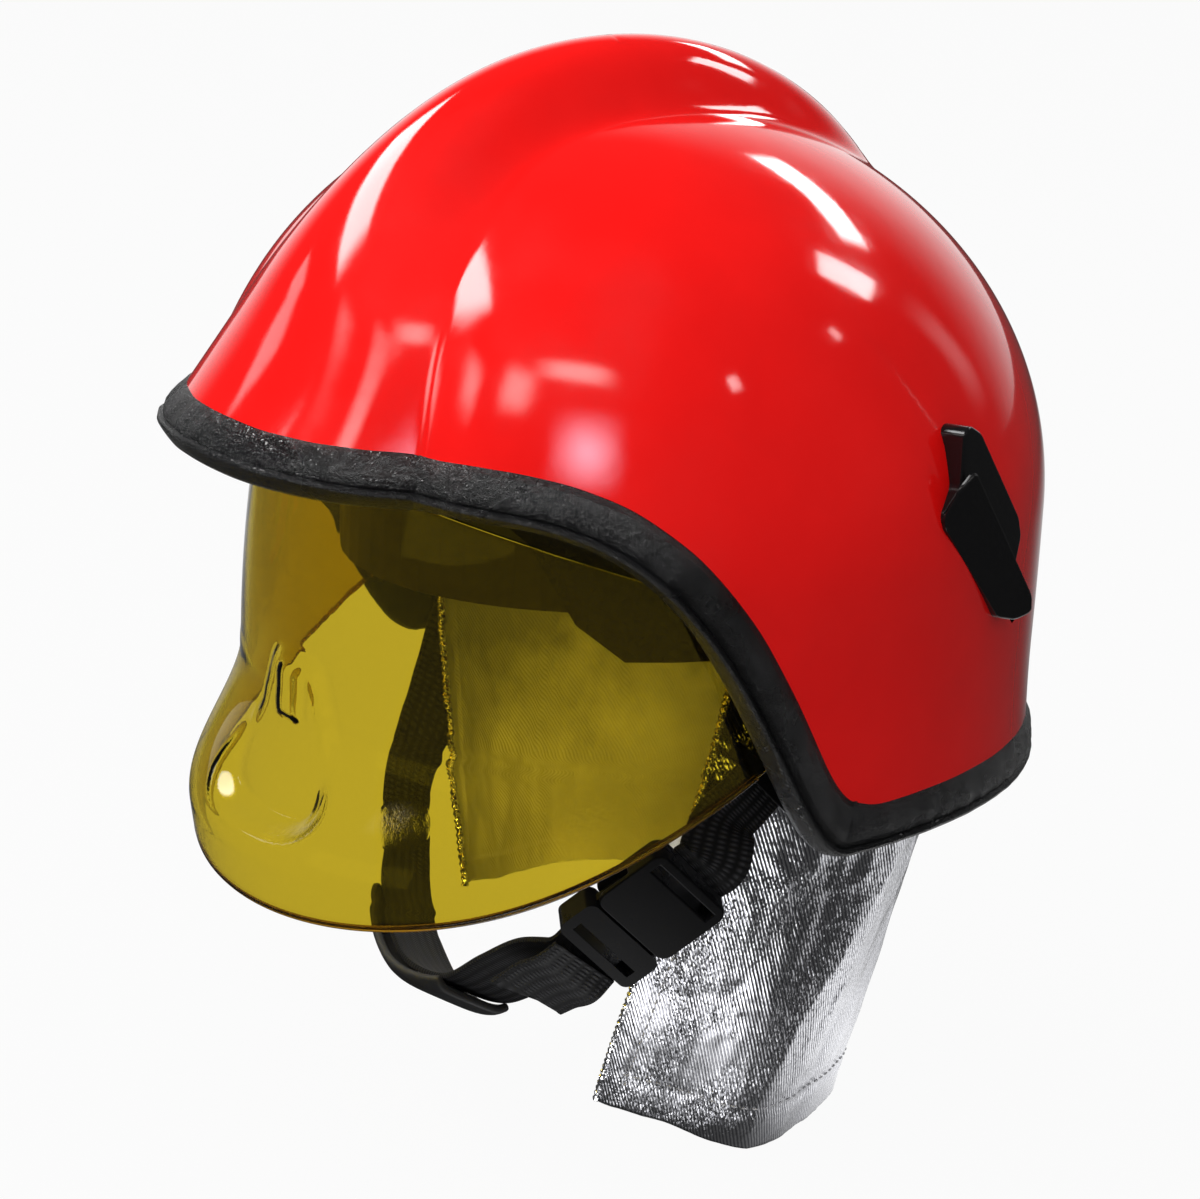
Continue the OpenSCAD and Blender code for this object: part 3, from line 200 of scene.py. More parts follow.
def makeLacquer(s):
    material = newMaterial("shellLacquer", s["color"], 0.1, Coat_Weight=0.7, Coat_Roughness=0.035, IOR=1.5)
    place = coordinates(material)
    cloudy = noiseOf(material, place, 14, 4)
    colorBy(material, spread(material, cloudy, 0.3, 0.7), s["deepColor"], s["color"])
    smear = noiseOf(material, place, 45, 5, 0.65)
    roughBy(material, smear, 0.35, 0.7, *s["roughness"])
    peel = noiseOf(material, place, 420, 2)
    wave = noiseOf(material, place, 36, 2)
    toShader(material, "Normal", bumped(material, peel, 0.00003, 0.45, bumped(material, wave, 0.0006, 0.4)))
    return material


leatherLook = {"color": (0.0045, 0.0047, 0.0052), "worn": (0.016, 0.0165, 0.018), "grain": 560}


def makeLeatherette(s, name="edgeLeatherette"):
    material = newMaterial(name, s["color"], 0.3, IOR=1.52, Specular_IOR_Level=0.7)
    place = coordinates(material)
    warped = addNode(material, "TexNoise", {"Vector": place, "Scale": 190, "Detail": 3})
    shifted = addNode(material, "MixRGB", {"Fac": 0.012, "Color1": place, "Color2": warped.outputs[1]})
    cells = addNode(material, "TexVoronoi", {"Vector": shifted.outputs[0], "Scale": s["grain"]},
                    feature="DISTANCE_TO_EDGE").outputs[0]
    grain = spread(material, cells, 0.0, 0.2)
    creases = noiseOf(material, coordinates(material, scale=(1, 1, 2.4)), 330, 4, 0.65, 2.2)
    lines = spread(material, calculated(material, "ABSOLUTE", calculated(material, "SUBTRACT", creases)), 0.0, 0.07)
    patches = noiseOf(material, place, 26, 4)
    colorBy(material, spread(material, patches, 0.42, 0.72), s["color"], s["worn"])
    roughBy(material, patches, 0.3, 0.7, 0.34, 0.2)
    fine = bumped(material, grain, 0.0003, 0.8)
    fine = bumped(material, lines, 0.0005, 0.85, fine)
    toShader(material, "Normal", bumped(material, noiseOf(material, place, 90, 3), 0.0012, 0.55, fine))
    return material


lensLook = {"color": (0.5, 0.37, 0.018), "rimColor": (0.36, 0.2, 0.012),
            "scuffs": [((93.5, -59.3, -63.3), 13), ((54.8, -98.9, -72.6), 9), ((20, -118, -84), 16)]}


def makeLensMaterial(name, color, roughness, scuffs=()):
    material = newMaterial(name, color, roughness, Transmission_Weight=1.0, IOR=1.47)
    place = coordinates(material)
    worn = None
    for centre, radius in scuffs:  # rubbed patches, strongest in the middle
        reach = vectorOf(material, "DISTANCE", place, tuple(c * mm for c in centre), "Value")
        patch = spread(material, reach, radius * mm, 0.2 * radius * mm)
        worn = patch if worn is None else calculated(material, "MAXIMUM", worn, patch)
    fine = noiseOf(material, coordinates(material, scale=(1, 1, 0.3)), 130, 5, 0.7, 0.6)
    rubbed = spread(material, fine, 0.56, 0.8)
    streaks = noiseOf(material, coordinates(material, scale=(1, 1, 0.25)), 34, 3, 0.5, 0.5)
    level = bumped(material, streaks, 0.0005, 0.2, bumped(material, noiseOf(material, place, 16, 2), 0.0007, 0.25))
    if worn is not None:
        rubbed = calculated(material, "MULTIPLY", rubbed, calculated(material, "ADD", worn, 0.12))
        chips = calculated(material, "MULTIPLY", noiseOf(material, place, 420, 4, 0.7), worn)
        level = bumped(material, chips, 0.0004, 0.35, level)
    roughBy(material, rubbed, 0, 1, roughness, roughness + 0.07)
    toShader(material, "Normal", level)
    return material


clothLook = {"bright": (0.92, 0.93, 0.96), "dull": (0.34, 0.34, 0.38), "inside": (0.9, 0.88, 0.8),
             "ribGap": 1.35, "sparkGap": 0.6, "slant": (0.05, 1.15)}


def waveScale(gap):
    return 2 * math.pi / (20 * gap * mm)


def makeSilverCloth(s, name="aluminisedTwill"):
    material = newMaterial(name, s["bright"], 0.2, Metallic=1.0)
    solid = coordinates(material)
    turned = coordinates(material, "UV", rotation=(0, 0, math.radians(-38)))
    ribs = addNode(material, "TexWave", {"Vector": turned, "Scale": waveScale(s["ribGap"]), "Distortion": 0.8,
                                         "Detail": 2, "Detail Scale": 1.5}, wave_type="BANDS").outputs[1]
    # short floats of thread, each lying at its own slant
    floats = addNode(material, "Mapping", {"Vector": turned, "Scale": (1, 0.6, 1)}).outputs[0]
    sparks = addNode(material, "TexVoronoi", {"Vector": floats, "Scale": 1000 / s["sparkGap"]})
    worked = spread(material, noiseOf(material, solid, 30, 3, 0.6, 0.3), 0.36, 0.6)
    frontward = addNode(material, "SeparateXYZ", {0: solid}).outputs[1]
    worked = calculated(material, "MULTIPLY", worked, spread(material, frontward, 0.035, -0.02, 0.25, 1.0))
    crinkle = noiseOf(material, solid, 85, 5, 0.6, 0.5)
    folds = noiseOf(material, solid, 24, 3, 0.5, 0.9)
    colorBy(material, ribs, s["dull"], s["bright"])
    roughBy(material, worked, 0, 1, 0.13, 0.3)
    level = bumped(material, folds, 0.01, 0.5)
    level = bumped(material, crinkle, 0.0006, 0.3, level)
    level = bumped(material, ribs, 0.0002, 0.6, level)
    slant = vectorOf(material, "SUBTRACT", sparks.outputs["Color"], (0.5, 0.5, 0.5))
    amount = spread(material, worked, 0, 1, *s["slant"])
    tilt = addNode(material, "VectorMath", {0: slant, "Scale": amount}, operation="SCALE").outputs[0]
    toShader(material, "Normal", vectorOf(material, "NORMALIZE", vectorOf(material, "ADD", level, tilt)))
    return material


def makeInnerCloth(s):
    material = newMaterial("curtainLining", s["inside"], 0.85, Sheen_Weight=0.2)
    place = coordinates(material)
    # painted shade: darker towards the top, where it is gathered in the shell's shadow, with random blotches in its
    # tone
    height = addNode(material, "SeparateXYZ", {0: place}).outputs[2]
    paintedShadeAndBlotches = calculated(material, "ADD", spread(material, height, -0.16, -0.07),
                       spread(material, noiseOf(material, place, 40, 4), 0.35, 0.7, -0.1, 0.15))
    colorBy(material, paintedShadeAndBlotches, s["inside"], tuple(0.16 * c for c in s["inside"]))
    weave = addNode(material, "TexWave", {"Vector": coordinates(material, "UV", rotation=(0, 0, math.radians(38))),
                                          "Scale": 230, "Distortion": 0.3}, wave_type="BANDS").outputs[1]
    toShader(material, "Normal", bumped(material, weave, 0.00015, 0.5,
                                        bumped(material, noiseOf(material, place, 30, 3), 0.003, 0.4)))
    return material


webLook = {"color": (0.005, 0.005, 0.0055), "light": (0.034, 0.034, 0.037), "ribs": 1.5, "yarns": 1.2}


def makeWebbing(s):
    material = newMaterial("strapWebbing", s["color"], 0.55, Specular_IOR_Level=0.16)
    uv = coordinates(material, "UV")
    ribs = addNode(material, "TexWave", {"Vector": uv, "Scale": waveScale(s["ribs"]), "Distortion": 0.15},
                   wave_type="BANDS", bands_direction="Y").outputs[1]
    yarns = addNode(material, "TexWave", {"Vector": uv, "Scale": waveScale(s["yarns"]), "Distortion": 0.2},
                    wave_type="BANDS", bands_direction="X").outputs[1]
    weave = calculated(material, "MULTIPLY", ribs, yarns)
    colorBy(material, weave, s["color"], s["light"])
    toShader(material, "Normal", bumped(material, weave, 0.0003, 0.9))
    return material


def makePlastic(name, color, roughness, grain=0.00002, scale=900, specular=0.5):
    material = newMaterial(name, color, roughness, Specular_IOR_Level=specular)
    place = coordinates(material)
    smear = noiseOf(material, place, 60, 4)
    roughBy(material, smear, 0.3, 0.7, roughness * 0.8, roughness * 1.25)
    toShader(material, "Normal", bumped(material, noiseOf(material, place, scale, 2), grain, 0.6))
    return material


def makeSteel():
    material = newMaterial("screwSteel", (0.6, 0.6, 0.62), 0.28, Metallic=1.0)
    place = coordinates(material, scale=(1, 1, 12))
    roughBy(material, noiseOf(material, place, 500, 3), 0.3, 0.7, 0.2, 0.38)
    toShader(material, "Normal", bumped(material, noiseOf(material, place, 700, 2), 0.00002, 0.5))
    return material


def makeFoam():
    material = newMaterial("linerFoam", (0.014, 0.014, 0.015), 0.85)
    place = coordinates(material)
    beads = addNode(material, "TexVoronoi", {"Vector": place, "Scale": 330}, feature="DISTANCE_TO_EDGE").outputs[0]
    toShader(material, "Normal", bumped(material, spread(material, beads, 0, 0.25), 0.0003, 0.6))
    colorBy(material, noiseOf(material, place, 60, 3), (0.01, 0.01, 0.011), (0.02, 0.02, 0.022))
    return material


def makeKnit():
    material = newMaterial("padKnit", (0.03, 0.03, 0.033), 0.85, Sheen_Weight=0.4)
    place = coordinates(material)
    loops = addNode(material, "TexVoronoi", {"Vector": place, "Scale": 620}).outputs[0]
    toShader(material, "Normal", bumped(material, loops, 0.0004, 0.7))
    colorBy(material, loops, (0.05, 0.05, 0.054), (0.018, 0.018, 0.02))
    return material


lacquer = makeLacquer(lacquerLook)
leatherette = makeLeatherette(leatherLook)
lensMaterial = makeLensMaterial("amberLens", lensLook["color"], 0.015, lensLook["scuffs"])
rimMaterial = makeLensMaterial("amberRim", lensLook["rimColor"], 0.08)
silverCloth = makeSilverCloth(clothLook)
bindingFoil = makeSilverCloth(clothLook | {"slant": (0.9, 1.1), "dull": (0.8, 0.8, 0.84)}, "bindingFoil")
innerCloth = makeInnerCloth(clothLook)
webbing = makeWebbing(webLook)
moulded = makePlastic("blackMoulded", (0.004, 0.004, 0.0045), 0.28, specular=0.07)
glossBlack = makePlastic("blackGloss", (0.006, 0.006, 0.0065), 0.16)
textured = makePlastic("blackTextured", (0.018, 0.018, 0.02), 0.5, 0.00006, 700)
palePlastic = makePlastic("palePinion", (0.62, 0.62, 0.58), 0.4)
rubber = makePlastic("blackRubber", (0.016, 0.016, 0.017), 0.6, 0.00005, 1200)
steel = makeSteel()
thread = makePlastic("hemThread", (0.6, 0.6, 0.62), 0.5, 0.00004, 2500)
foam = makeFoam()
knit = makeKnit()
sweatLeather = makeLeatherette({"color": (0.03, 0.022, 0.018), "worn": (0.05, 0.037, 0.03), "grain": 420},
                               "sweatLeather")
nodeMaterials = {"outer_shell": lacquer, "edge_trim": leatherette, "impact_liner": foam, "chin_cup": rubber,
                 "adjuster_pinion": palePlastic, "visor_lens": lensMaterial, "crown_pad": knit, "nape_pad": knit,
                 "sweatband": sweatLeather}
nodeMaterials |= dict.fromkeys(["lamp_bracket", "strap_keeper", "buckle_socket", "buckle_tongue"], moulded)
nodeMaterials |= dict.fromkeys(["headband", "headband_clips", "adjuster_cover", "adjuster_housing", "adjuster_knob",
                                "curtain_rail"], textured)
for part, finish in (("rack", textured), ("visor_arm", textured), ("pivot_bracket", textured),
                     ("strap_anchor", textured), ("friction_washer", rubber)):
    nodeMaterials |= {part + "_left": finish, part + "_right": finish}
for nodeName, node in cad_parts.items():
    finish = nodeMaterials.get(nodeName, steel)
    if not node.material_slots:
        node.data.materials.append(finish)
    for slot in node.material_slots:
        slot.material = finish
print("stage: materials")


# making and placing pieces
def finishPiece(name, bm, materials, body, replaced=(), sharp=40):
    mesh = bpy.data.meshes.new(name)
    bm.to_mesh(mesh)
    bm.free()
    for material in materials if isinstance(materials, (list, tuple)) else [materials]:
        mesh.materials.append(material)
    for face in mesh.polygons:
        face.use_smooth = True
    mesh.set_sharp_from_angle(angle=math.radians(sharp))
    piece = addObject(name, mesh)
    if replaced:
        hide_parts(*replaced)
    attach(piece, body)
    return piece


def gridMesh(across, along, place, size=(1.0, 1.0), merge=True):
    # a flat grid whose points are moved to place(u, v), with the grid's own size kept as the UV map
    bm = bmesh.new()
    bmesh.ops.create_grid(bm, x_segments=across, y_segments=along, size=0.5)
    uv = bm.loops.layers.uv.new("UVMap")
    for face in bm.faces:
        for loop in face.loops:
            loop[uv].uv = ((loop.vert.co.x + 0.5) * size[0] * mm, (loop.vert.co.y + 0.5) * size[1] * mm)
    for vert in bm.verts:
        vert.co = Vector(place(vert.co.x + 0.5, vert.co.y + 0.5)) * mm
    if merge:
        bmesh.ops.remove_doubles(bm, verts=bm.verts, dist=0.00001)
    return bm


def faceOut(bm):
    bmesh.ops.recalc_face_normals(bm, faces=bm.faces)


def faceFrom(bm, middle, sign=1):
    # an open sheet's faces turned away from the middle, or towards it where sign is -1
    faceOut(bm)
    if sign * sum(f.normal.dot(f.calc_center_median() - middle) for f in bm.faces) < 0:
        bmesh.ops.reverse_faces(bm, faces=bm.faces)


def pointsIn(geometry):
    return [v for v in geometry if isinstance(v, bmesh.types.BMVert)]


def closeEnds(bm):
    bmesh.ops.holes_fill(bm, edges=[e for e in bm.edges if e.is_boundary], sides=0)
    faceOut(bm)


def addSolidify(piece, thickness, offset, inner=0, rim=0):
    solid = piece.modifiers.new("wall", "SOLIDIFY")
    solid.thickness = thickness * mm
    solid.offset = offset
    solid.use_even_offset = True
    solid.material_offset = inner
    solid.material_offset_rim = rim


# outer shell
shellSetup = {"front": 118, "rear": 149, "halfWidth": 121, "up": 122.5, "down": 510, "wall": 3,
              "brimHeight": 33, "flapHeight": -75.4, "brimDip": 3.1, "napeDrop": 3.2, "flapStart": 18.5,
              "flapEnd": 96.4, "flapTurn": 2.72, "brimFlare": 9, "brimFlareEnd": 50, "napeFlare": 2, "flareBand": 35,
              "combHeight": 18.5, "combBrimHeight": 9.2, "combTopWidth": 23, "combBrimWidth": 60,
              "combEndWidth": 15, "combEnd": 136.5, "creaseDepth": 3, "creaseWidth": 12,
              "around": 288, "rows": 128,
              "stepFrom": (103, 41.6), "stepTo": (117.5, 13.4), "stepDepth": 0.6}


def domeRadius(d, s=shellSetup):
    level = max(math.hypot(d.x, d.y), 0.000001)
    length = mix(s["front"], s["rear"], smooth(0.5 + 0.5 * d.y / level))
    height = s["up"] if d.z > 0 else s["down"]
    return 1 / math.sqrt((d.x / s["halfWidth"]) ** 2 + (d.y / length) ** 2 + (d.z / height) ** 2)


def comb(p, s=shellSetup):
    over = math.degrees(math.atan2(p.z, -p.y))
    over = over + 360 if over < -90 else over
    share = min((over - 90) / (s["combEnd"] - 90), 1)
    if over < 90:
        height = mix(s["combBrimHeight"], s["combHeight"], smooth((over - 10) / 70))
        width = mix(s["combBrimWidth"], s["combTopWidth"], smooth((over - 5) / 85))
    else:
        height = s["combHeight"] * max(1 - share ** 2, 0) ** 0.8
        width = mix(s["combTopWidth"], s["combEndWidth"], share)
    t = min(abs(p.x) / width, 1)
    k = 1 - smooth((over - 15) / 45)
    crease = s["creaseDepth"] * k * bump(abs(p.x), width, s["creaseWidth"])
    return height * mix((1 + math.cos(math.pi * t)) / 2, 1 - t * t, k) - crease


def edgeHeight(azimuth, s=shellSetup):
    a = abs(azimuth)
    t = min(max((a - s["flapStart"]) / (s["flapEnd"] - s["flapStart"]), 0), 1) ** s["flapTurn"]
    return (mix(s["brimHeight"], s["flapHeight"], smooth(t)) - s["brimDip"] * smooth(a / 40) * (1 - smooth(t))
            - s["napeDrop"] * smooth((a - 95) / 85))


def shellFlare(azimuth, z, s=shellSetup):
    a = abs(azimuth)
    w = min(max(1 - (z - edgeHeight(azimuth)) / s["flareBand"], 0), 1.3)
    return (s["brimFlare"] * (1 - smooth((a - 5) / (s["brimFlareEnd"] - 5)))
            + s["napeFlare"] * smooth((a - 90) / 60)) * w * w


def shellPoint(azimuth, elevation, inset=0.0):
    d = direction(azimuth, elevation)
    r = domeRadius(d)
    base = d * r
    return d * (r + comb(base) + shellFlare(azimuth, base.z) - inset)


edgeCache = {}


def edgeElevation(azimuth):
    key = round(azimuth, 4)
    if key not in edgeCache:
        low, high = -60.0, 60.0
        for _ in range(24):
            middle = (low + high) / 2
            if shellPoint(azimuth, middle).z < edgeHeight(azimuth):
                low = middle
            else:
                high = middle
        edgeCache[key] = (low + high) / 2
    return edgeCache[key]


def shellNormal(azimuth, elevation):
    return (shellPoint(azimuth + 0.5, elevation) - shellPoint(azimuth - 0.5, elevation)).cross(
        shellPoint(azimuth, elevation + 0.5) - shellPoint(azimuth, elevation - 0.5)).normalized()


def stepDepth(azimuth, elevation, s=shellSetup):
    # a faint step in the side, ahead of the lamp bracket, recessed behind its line and fading to the rear
    (startAzimuth, startElevation), (endAzimuth, endElevation) = s["stepFrom"], s["stepTo"]
    share = (startElevation - elevation) / (startElevation - endElevation)
    if not -0.25 < share < 1.2:
        return 0.0
    line = mix(startAzimuth, endAzimuth, max(share, 0) ** 1.45)
    ends = smooth((share - 0.05) / 0.5) * smooth((1.2 - share) / 0.25)
    return s["stepDepth"] * ends * smooth((azimuth - line) / 1.8) * (1 - smooth((azimuth - line - 4) / 16))


def makeShell(s):
    bm = bmesh.new()
    bmesh.ops.create_uvsphere(bm, u_segments=s["around"], v_segments=s["rows"], radius=1)
    lowest = [v for v in bm.verts if v.co.z < -0.99999]
    bmesh.ops.delete(bm, geom=lowest, context="VERTS")
    step = 180 / s["rows"]
    for vert in bm.verts:
        polar = math.degrees(math.asin(max(-1, min(1, vert.co.z))))
        share = (polar + 90 - step) / (180 - step)
        azimuth = math.degrees(math.atan2(vert.co.x, -vert.co.y)) if share < 0.9999 else 0.0
        elevation = mix(edgeElevation(azimuth), 90, share)
        vert.co = shellPoint(azimuth, elevation, stepDepth(azimuth, elevation)) * mm
    faceOut(bm)
    shell = finishPiece("shell", bm, lacquer, "helmet", ["outer_shell"], 60)
    addSolidify(shell, s["wall"], -1)
    return shell


shell = makeShell(shellSetup)
print("stage: shell")


# edge trim: leatherette over a foam strip, with a welt along its outer seam
trimSetup = {"steps": 540, "length": 870, "girth": 44, "corner": (95.5, 4, 3.4),  # azimuth, width, height
             "pulled": (0.35, 0.11), "padded": (0.3, 0.2), "pleats": (0.16, 0.9),  # height, rate
             "section": [(11.6, 0.1), (11.4, 1.4), (10.4, 2.7), (8.6, 3.6), (6.2, 4.3), (3.4, 4.8), (0.9, 4.9),
                         (-0.6, 4.5), (-1.2, 3.9), (-1.7, 4.6), (-2.5, 5.1), (-3.4, 4.7), (-3.9, 3.5), (-4.6, 1.4),
                         (-5.2, -1.0), (-5.1, -3.4), (-4.1, -5.4), (-2.2, -6.5), (0.6, -6.7), (4.6, -6.4),
                         (7.8, -6.0), (9.0, -5.2), (9.1, -4.2), (8.8, -3.1), (0.0, -3.05), (-0.2, -1.5), (0.0, 0.05)]}


def trimFrame(azimuth):
    elevation = edgeElevation(azimuth)
    edge = shellPoint(azimuth, elevation)
    ahead = shellPoint(azimuth + 0.7, edgeElevation(azimuth + 0.7))
    behind = shellPoint(azimuth - 0.7, edgeElevation(azimuth - 0.7))
    normal = shellNormal(azimuth, elevation)
    return edge, normal.cross((ahead - behind).normalized()).normalized(), normal


def makeTrim(s):
    n = len(s["section"])
    frames = {}

    def place(u, v):
        k = round(u * s["steps"]) % s["steps"]
        if k not in frames:
            azimuth = 360 * k / s["steps"]
            frames[k] = trimFrame(azimuth - 360 if azimuth > 180 else azimuth)
        edge, up, normal = frames[k]
        height, out = s["section"][round(v * n) % n]
        if height > 7 and out > 0:  # the upper edge waves a little where the strip was pulled round
            height += s["pulled"][0] * ripple(k * s["pulled"][1], 3)
            turned = 360 * k / s["steps"]  # it rounds the flap's corner
            height += s["corner"][2] * bump(min(turned, 360 - turned), *s["corner"][:2])
        elif out > 2:
            pleat = s["pleats"][0] * math.sin(k * s["pleats"][1]) if height > -1 else 0
            out += s["padded"][0] * ripple(k * s["padded"][1], 8) + pleat
        return edge + up * height + normal * out

    bm = gridMesh(s["steps"], n, place, (s["length"], s["girth"]))
    faceOut(bm)
    return finishPiece("edgeTrim", bm, leatherette, "helmet", ["edge_trim"], 75)


edgeTrim = makeTrim(trimSetup)
print("stage: trim")


# visor lens
lensSetup = {"halfWidth": 108.5, "depth": 94.3, "y": -8, "belly": -40.7, "sideRadius": 304, "wall": 2.5,
             "top": 22, "sideTop": -9, "bottom": -109.5, "rise": 56.5, "flareFrom": -51.3, "flareBand": 45,
             "flare": 24, "tab": 12,
             "boss": {"height": 2.6, "high": -40, "low": -74, "topHalf": 9, "footHalf": 20.5, "foot": -83,
                      "footZ": -62, "footRadius": 26, "corner": 2.4, "edge": 7, "flat": 0.5},
             "across": 300, "rows": 160, "reach": 1.06, "turned": 0.06,
             "grip": {"x": 0, "z": -48, "halfWide": 7, "halfHigh": 9, "height": 1.3, "edge": 3.2},
             "crease": 0.3, "rim": 1.15}


def noseOut(x, z, s=lensSetup):
    # a flat boss, narrow above and wide below, whose sides round into each other, and the grip on its top
    boss, grip = s["boss"], s["grip"]
    lean = math.hypot(boss["low"] - boss["high"], boss["footHalf"] - boss["topHalf"])
    run = (boss["high"] - z) * (boss["footHalf"] - boss["topHalf"]) / (boss["high"] - boss["low"])
    side = (abs(x) - boss["topHalf"] - run) * (boss["high"] - boss["low"]) / lean
    foot = math.hypot(x, z - boss["footZ"]) - boss["footRadius"]
    sides = [z - boss["high"], side, foot, boss["foot"] - z]
    outside = boss["corner"] * math.log(sum(math.exp(min(d / boss["corner"], 30)) for d in sides))
    inside = smooth((boss["edge"] - outside) / boss["edge"])
    tab = smooth((grip["halfWide"] - abs(x - grip["x"])) / grip["edge"])
    rise = grip["height"] * tab * smooth((grip["halfHigh"] - abs(z - grip["z"])) / grip["edge"])
    return rise + boss["height"] * inside, boss["flat"] * inside


def lensPoint(azimuth, z, offset=0.0, behind=0.0, s=lensSetup):
    depth = s["depth"] - (z - s["belly"]) ** 2 / (2 * s["sideRadius"])
    x = s["halfWidth"] * sine(azimuth)
    out = offset + (s["flare"] * max(cosine(azimuth), 0) ** 2.36 + 1) * smooth((s["flareFrom"] - z) / s["flareBand"])
    rise, flat = noseOut(x, z)
    out += rise - flat * (out - offset) + s["crease"] * bump(z, s["flareFrom"], 3) * smooth(3 * cosine(azimuth))
    return Vector(((s["halfWidth"] + out) * sine(azimuth), s["y"] - (depth + out) * cosine(azimuth) + behind, z))


def lensEdge(azimuth, low, s=lensSetup):
    c = cosine(azimuth)
    if low:
        return s["bottom"] + s["rise"] * (1 - c)
    return mix(s["sideTop"], s["top"], max(c, 0) ** 0.8)


def makeLens(s):
    def place(u, v):
        run = (2 * u - 1) * s["reach"]
        azimuth = max(-90.0, min(90.0, run * 90))
        behind = max(abs(run) - 1, 0) / s["turned"] * s["tab"]
        return lensPoint(azimuth, mix(lensEdge(azimuth, True), lensEdge(azimuth, False), v), 0, behind)

    bm = gridMesh(s["across"], s["rows"], place, merge=False)
    faceOut(bm)
    lens = finishPiece("visorLens", bm, lensMaterial, "visor", ["visor_lens"], 60)
    addSolidify(lens, s["wall"], 0)
    lens.visible_shadow = False  # light reaches the inside through the lens


def tube(name, points, radius, material, body, sides, beads=None):
    # a closed round bar through the points, with its radius beaded where beads gives (gap, share)
    count = len(points) - 1
    frames = []
    up = Vector((0, 0, 1))
    travelled = 0.0
    for k, point in enumerate(points):
        along = (points[min(k + 1, count)] - points[max(k - 1, 0)]).normalized()
        side = along.cross(up).normalized() if abs(along.z) < 0.97 else along.cross(Vector((0, 1, 0))).normalized()
        travelled += (point - points[k - 1]).length if k else 0
        frames.append((point, side, along.cross(side), travelled))

    def place(u, v):
        point, side, other, run = frames[round(v * count)]
        r = radius * (1 + beads[1] * math.sin(2 * math.pi * run / beads[0])) if beads else radius
        return point + side * r * cosine(360 * u) + other * r * sine(360 * u)

    bm = gridMesh(sides, count, place, (2 * math.pi * radius, travelled))
    closeEnds(bm)
    return finishPiece(name, bm, material, body, (), 60)


def makeRim(s):
    # the thick moulded bead along the lens's lower edge
    points = []
    for k in range(241):
        azimuth = mix(-88, 88, k / 240)
        points.append(lensPoint(azimuth, lensEdge(azimuth, True), 0.15))
    tube("lensRim", points, s["rim"], rimMaterial, "visor", 12)


makeLens(lensSetup)
makeRim(lensSetup)
print("stage: lens")


# neck curtain
curtainSetup = {"top": -24, "front": -190.5, "back": -201.5, "rise": 46, "topWidth": 94, "topLength": 90,
                "lowWidth": 58, "lowLength": 50, "topY": 43.5, "lowY": 38, "fold": 4, "wall": 1.3,
                "columns": 320, "rows": 148, "flat": (470, 180),
                "creaseTop": 120, "creaseLow": 80, "creaseHeight": 6, "hemAt": 0.93, "edgeAt": 0.022, "hemStep": 0.5,
                "binding": 1.1, "beads": (2.4, 0.22), "stitchGap": 3.4, "stitch": (1.2, 0.3, 0.3),
                "startTop": 60.4, "startLow": 30.4, "startBow": 20,
                "waves": [(0.8, 140, 10), (-0.6, 160, 9), (-0.5, 60, 10), (-0.5, 180, 12)],  # height, azimuth, width
                "crumples": [(0.8, 0.06, 4.0, 0), (0.5, 0.16, 9.0, 5), (0.22, 0.4, 22.0, 9)],
                "cut": (430, 180), "area": 0.0585}


def curtainLow(side, s=curtainSetup):
    return mix(s["front"], s["back"], smooth((side - 30) / 55))


def curtainShare(azimuth, s=curtainSetup):
    low = curtainLow(min(azimuth, 360 - azimuth))
    return 1 - s["rise"] * smooth((azimuth - 185) / 62) / (s["top"] - low)


def curtainStart(t, s=curtainSetup):
    return mix(s["startTop"], s["startLow"], t) + s["startBow"] * t * (1 - t)


def curtainFold(azimuth, t, s=curtainSetup):
    a = 360 - azimuth if azimuth > 180 else azimuth
    waves = s["fold"] * t ** 1.3 * sum(height * bump(a, centre, width) for height, centre, width in s["waves"])
    # the sharp crease that runs from below the flap to the hem, a softer one beside it
    crest = mix(s["creaseTop"], s["creaseLow"], smooth((t - 0.2) / 0.8))
    crease = s["creaseHeight"] * t ** 0.8 * max(0, 1 - abs(a - crest) / 24) * (1 if azimuth < 180 else 0.5)
    second = 1.6 * t * max(0, 1 - abs(a - crest + 26 + 18 * t) / 14)
    return waves + crease + second


def curtainPoint(azimuth, depth, offset, s=curtainSetup):
    t = depth * curtainShare(azimuth)
    k = t ** 1.2
    a, b = mix(s["topWidth"], s["lowWidth"], k), mix(s["topLength"], s["lowLength"], k)
    out = offset + curtainFold(azimuth, t)
    low = curtainLow(min(azimuth, 360 - azimuth))
    return Vector(((a + out) * sine(azimuth), mix(s["topY"], s["lowY"], t) - (b + out) * cosine(azimuth),
                   mix(s["top"] - 0.4, low, t)))


def clothPoint(u, v, extra=0.0, s=curtainSetup):
    depth = 1 - v
    start = curtainStart(depth)
    end = 360 - curtainStart(depth * curtainShare(330))
    azimuth = mix(start, end, u)
    loose = smooth(depth * 4)
    crumple = sum(high * ripple(azimuth * around, depth * down, seed) for high, around, down, seed in s["crumples"])
    band = s["hemStep"] * max(smooth((depth - s["hemAt"]) / 0.008), smooth((s["edgeAt"] - min(u, 1 - u)) / 0.003))
    return curtainPoint(azimuth, depth, 1.0 + loose * crumple + band + extra)


def stitchRow(bm, points, s=curtainSetup):
    # short threads laid end to end along the points
    run, due = 0.0, 0.0
    for a, b in zip(points, points[1:]):
        run += (b - a).length
        if run >= due:
            due = run + s["stitchGap"]
            along = (b - a).normalized()
            turn = along.to_track_quat("X", "Z").to_matrix().to_4x4()
            size = Matrix.Diagonal((*[c * mm for c in s["stitch"]], 1))
            bmesh.ops.create_uvsphere(bm, u_segments=6, v_segments=4, radius=1,
                                      matrix=Matrix.Translation(b * mm) @ turn @ size)


